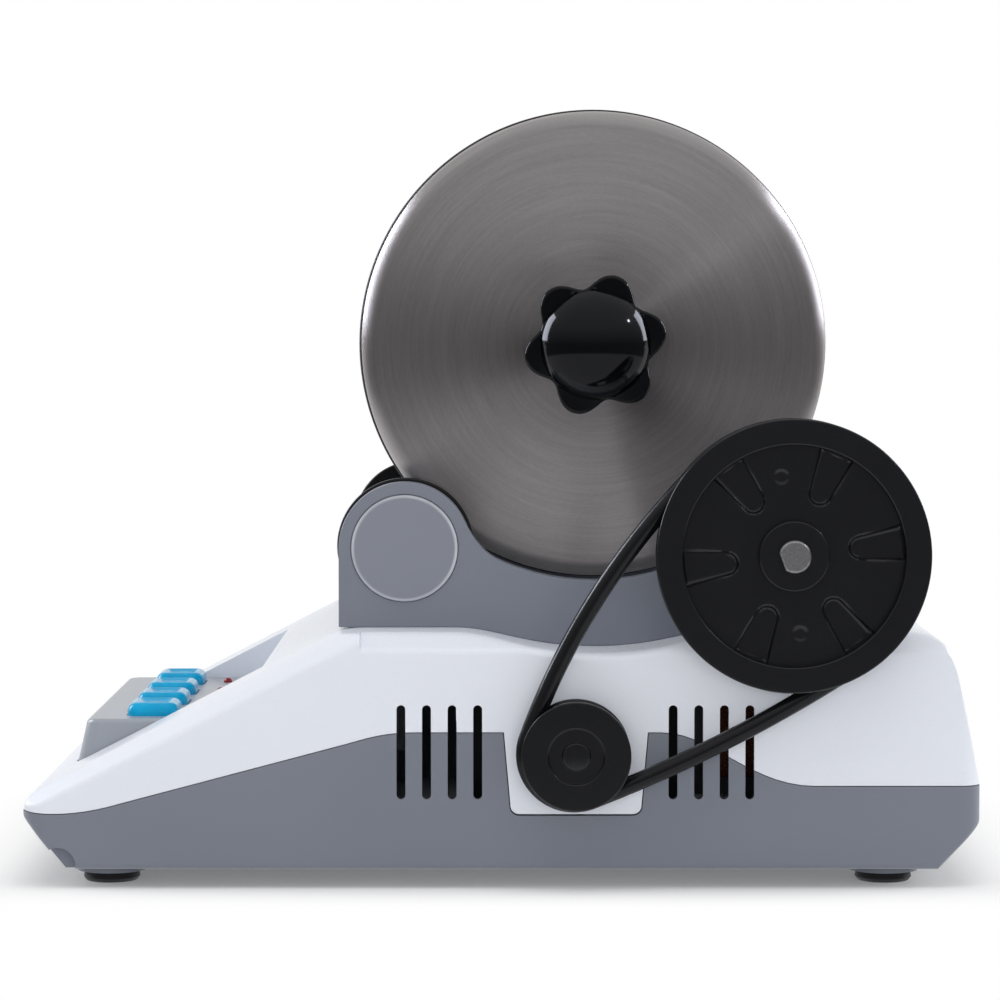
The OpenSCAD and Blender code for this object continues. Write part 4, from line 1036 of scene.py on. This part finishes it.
gland_profile = rounded([(r, tip - deep) for r, deep in (
    (3.4, 0), (4.2, 0), (6.0, 0.6), (6.0, 1.5), (4.6, 1.5), (4.6, 2.7), (5.6, 2.7), (5.2, 7.7), (3.4, 7.7))],
    [0.3, 0.3, 0.3, 0, 0, 0, 0.2, 0.3, 0], 3)
finish(merged(turned(gland_profile, (gland_y, gland_z), "X", 64)), "cord_inlet_gland", disc_nylon, "housing",
       "black_plastic", "cord_gland")

# Zinc plate on steel: bright, slightly cloudy.
zinc = surface("bright_zinc_plate", "#c0c1c3", "#a9abae", (0.2, 0.32), 0.7, 4, Metallic=1.0)
screw_tree, size = geometry_tree("pan_head_screws", "Screws", Places="Geometry", Head_Radius="Float",
                                 Head_Height="Float", Shank_Radius="Float", Shank_Length="Float",
                                 Turn="Vector")


def scaled(label, factor):
    return num(screw_tree, "MULTIPLY", size[label], factor)


def lifted(shape, height):
    place = add(screw_tree, "ShaderNodeCombineXYZ", {"Z": height}).outputs[0]
    return add(screw_tree, "GeometryNodeTransform", {"Geometry": shape, "Translation": place}).outputs[0]


brim = add(screw_tree, "GeometryNodeMeshCylinder", {"Vertices": 36, "Radius": size["Head Radius"],
           "Depth": scaled("Head Height", 0.55)})
crown = add(screw_tree, "GeometryNodeMeshCone", {"Vertices": 36, "Radius Top": size["Head Radius"],
            "Radius Bottom": scaled("Head Radius", 0.72), "Depth": scaled("Head Height", 0.45)})
bars = []
for wide, deep in ((1.15, 0.24), (0.24, 1.15)):
    box = add(screw_tree, "ShaderNodeCombineXYZ", {"X": scaled("Head Radius", wide),
              "Y": scaled("Head Radius", deep), "Z": scaled("Head Height", 1.1)})
    bar = add(screw_tree, "GeometryNodeMeshCube", {"Size": box.outputs[0]})
    bars.append(lifted(bar.outputs[0], scaled("Head Height", -1.1)))
head = add(screw_tree, "GeometryNodeMeshBoolean", operation="UNION", solver="EXACT")
screw_tree.links.new(lifted(brim.outputs[0], scaled("Head Height", -0.275)), head.inputs[1])
screw_tree.links.new(lifted(crown.outputs[0], scaled("Head Height", -1.0)), head.inputs[1])
cross = add(screw_tree, "GeometryNodeMeshBoolean", {0: head.outputs[0]}, operation="DIFFERENCE", solver="EXACT")
for bar in bars:
    screw_tree.links.new(bar, cross.inputs[1])
shank = add(screw_tree, "GeometryNodeMeshCylinder", {"Vertices": 24, "Radius": size["Shank Radius"],
            "Depth": size["Shank Length"]})
whole = add(screw_tree, "GeometryNodeJoinGeometry")
screw_tree.links.new(cross.outputs[0], whole.inputs[0])
screw_tree.links.new(lifted(shank.outputs[0], scaled("Shank Length", 0.5)), whole.inputs[0])
repeat(screw_tree, "Screws", zinc,
       {"Points": size["Places"], "Instance": whole.outputs[0], "Rotation": size["Turn"]})

MOTOR_BOLTS = [(motor_x + dx, mid - 42, motor_z + dz) for dx in (-20, 20) for dz in (-20, 20)]
BRACKET_X = (-40, 100)
upright, level = (0.0, 0.0, 0.0), (math.radians(90), 0.0, 0.0)
for name, node, places, head_r, head_h, shank_r, shank_l, turn in (
        ("foot_screws_zinc", "foot_screws", [(x, y, 1.6) for x, y in FEET], 3.1, 1.2, 1.5, 8.9, upright),
        ("housing_screws_zinc", "housing_screws", [(x, y, floor_z + 3) for x, y in HOUSING_SCREWS],
         3.0, 2.6, 1.5, 11.0, upright),
        ("cheek_screws", "bracket_screws",
         [(x, mid + s * 74, roof_z - 2.7) for x in BRACKET_X for s in (-1, 1)], 3.0, 2.0, 1.5, 13.9, upright),
        ("motor_bolts", "motor_screws", MOTOR_BOLTS, 3.0, 2.4, 1.6, 53.0, level),
        ("board_screws_zinc", "board_screws", [(x, y, board_lo.z) for x, y in BOARD_POSTS],
         2.8, 2.0, 1.4, 5.6, upright)):
    mesh = grown(screw_tree, {"Head Radius": head_r, "Head Height": head_h, "Shank Radius": shank_r,
                              "Shank Length": shank_l, "Turn": turn}, places)
    finish(linked("work", mesh), name, zinc, "housing", "steel", node, sharp=30)

# ------------------------------------------------------ floor, light, camera
# A pale floor that fades into a white background, soft lights at the sides, above and in front,
# and a dark studio wall with two windows and a small lamp that only glossy surfaces mirror.
floor_mesh = bpy.data.meshes.new("floor")
floor_mesh.from_pydata([(-4, -0.65, 0), (4, -0.65, 0), (4, 6, 0), (-4, 6, 0)], [], [(0, 1, 2, 3)])
floor = linked("floor", floor_mesh)
paper = bpy.data.materials.new("white_paper_floor")
tree = blank(paper)
place = add(tree, "ShaderNodeTexCoord").outputs["Object"]
aside = vec(tree, "ABSOLUTE", vec(tree, "SUBTRACT", place, (0, mid * MM, 0)))
beyond = vec(tree, "MAXIMUM", vec(tree, "SUBTRACT", aside, (cad_hi.x, half_w * MM, 0)))
fade = mapped(tree, vec(tree, "LENGTH", beyond), -0.004, 0.04, interpolation_type="SMOOTHSTEP")
eye = add(tree, "ShaderNodeLightPath").outputs["Is Camera Ray"]
matt = add(tree, "ShaderNodeBsdfDiffuse", {"Color": tone("#f4f4f4")}).outputs[0]
glow = add(tree, "ShaderNodeEmission", {"Strength": num(tree, "MULTIPLY", eye, 0.12)}).outputs[0]
lit = add(tree, "ShaderNodeAddShader", {0: matt, 1: glow}).outputs[0]
white = add(tree, "ShaderNodeEmission", {"Strength": 1.0}).outputs[0]
sheet = add(tree, "ShaderNodeMixShader", {0: num(tree, "MULTIPLY", fade, eye), 1: lit, 2: white})
add(tree, "ShaderNodeOutputMaterial", {"Surface": sheet.outputs[0]})
floor_mesh.materials.append(paper)
floor.visible_glossy = False


def glossy_only(name, mesh, material):
    """An object that lights glossy surfaces and is not seen otherwise."""
    mesh.materials.append(material)
    panel = linked(name, mesh)
    panel.visible_camera = panel.visible_diffuse = False
    panel.visible_shadow = panel.visible_transmission = False
    return panel


WALL_R, WALL_Y = 3.0, 0.6
wall_bm = bmesh.new()
rows = []
for up in np.radians(np.linspace(-89, 114, 30)):
    rows.append([(WALL_R * math.sin(t), WALL_Y - WALL_R * math.cos(t) * math.cos(up),
                  WALL_R * math.cos(t) * math.sin(up)) for t in np.radians(np.linspace(-88, 88, 24))])
grid = [[wall_bm.verts.new(p) for p in row] for row in rows]
for a, b in zip(grid, grid[1:]):
    for i in range(len(a) - 1):
        wall_bm.faces.new((a[i], a[i + 1], b[i + 1], b[i]))
wall_mesh = bpy.data.meshes.new("studio_wall")
wall_bm.to_mesh(wall_mesh)
wall_bm.free()
felt = bpy.data.materials.new("dark_studio_wall")
tree = blank(felt)
aim = vec(tree, "NORMALIZE", add(tree, "ShaderNodeTexCoord").outputs["Object"])
height = add(tree, "ShaderNodeSeparateXYZ", {0: aim}).outputs[2]
shade = add(tree, "ShaderNodeValToRGB", {0: mapped(tree, height, -1.0, 1.0)})
stops = shade.color_ramp.elements
for place, grey in ((0.39, 0.6), (0.41, 0.12), (0.53, 0.12), (0.65, 0.3), (0.78, 0.5)):
    stops.new(place).color = (grey, grey, grey * 1.04, 1.0)
stops[0].color, stops[-1].color = (0.6, 0.6, 0.63, 1.0), (0.6, 0.6, 0.62, 1.0)
glow = add(tree, "ShaderNodeEmission", {"Color": shade.outputs[0]})
add(tree, "ShaderNodeOutputMaterial", {"Surface": glow.outputs[0]})
studio = glossy_only("studio_wall", wall_mesh, felt)

world = bpy.data.worlds.new("studio")
bpy.context.scene.world = world
tree = blank(world)
ray = add(tree, "ShaderNodeLightPath").outputs
seen = num(tree, "MAXIMUM", ray["Is Camera Ray"], ray["Is Glossy Ray"])
seen = num(tree, "MAXIMUM", seen, ray["Is Transmission Ray"])
level = mapped(tree, seen, 0.0, 1.0, 0.53, 1.0)
sky = add(tree, "ShaderNodeBackground", {"Color": tone("#ffffff"), "Strength": level})
add(tree, "ShaderNodeOutputWorld", {"Surface": sky.outputs[0]})


def softbox(name, where, size, watts):
    """A soft light that faces the drum and is not mirrored."""
    lamp = bpy.data.lights.new(name, "AREA")
    lamp.shape, lamp.size, lamp.size_y, lamp.energy = "RECTANGLE", size[0], size[1], watts
    box = linked(name, lamp)
    box.location = where
    box.rotation_euler = (Vector((0.0, 0.0, 0.12)) - Vector(where)).to_track_quat("-Z", "Y").to_euler()
    box.visible_glossy = False


softbox("left_lamp", (-1.15, 0.35, 0.66), (0.75, 0.8), 3.2)
softbox("right_lamp", (1.2, 0.1, 0.5), (0.75, 0.8), 5.0)
softbox("overhead", (0.0, -0.35, 1.5), (1.3, 1.1), 7.5)
softbox("front_fill", (0.0, -2.0, 0.32), (1.6, 0.5), 8.0)
for name, centre, wide, high, strength in (("left_window", (-1.15, 0.4, 0.66), 0.3, 0.4, 9.5),
                                           ("right_window", (1.15, 0.4, 0.66), 0.3, 0.4, 8.5),
                                           ("small_lamp", (1.62, -0.43, 1.29), 0.05, 0.05, 90.0)):
    glass = bpy.data.materials.new("lit_" + name)
    tree = blank(glass)
    glow = add(tree, "ShaderNodeEmission", {"Color": tone("#eef1ff"), "Strength": strength})
    add(tree, "ShaderNodeOutputMaterial", {"Surface": glow.outputs[0]})
    mesh = bpy.data.meshes.new(name)
    centre, up = Vector(centre), Vector((0, 0, 1))
    across = (Vector((0, 0, 0.17)) - centre).cross(up).normalized()
    mesh.from_pydata([centre + across * u * wide + up * v * high
                      for u, v in ((-1, -1), (1, -1), (1, 1), (-1, 1))], [], [(0, 1, 2, 3)])
    window = glossy_only(name, mesh, glass)

lens = bpy.data.cameras.new("camera")
lens.lens, lens.sensor_width, lens.clip_start, lens.clip_end = 127.46, 36.0, 0.05, 50.0
camera = linked("camera", lens)
camera.location = (0.000565, -1.19603, 0.179556)
camera.rotation_euler = (math.radians(90 - 2.991), 0.0, math.radians(0.046))
bpy.context.scene.camera = camera
bpy.context.scene.view_settings.view_transform = "Standard"
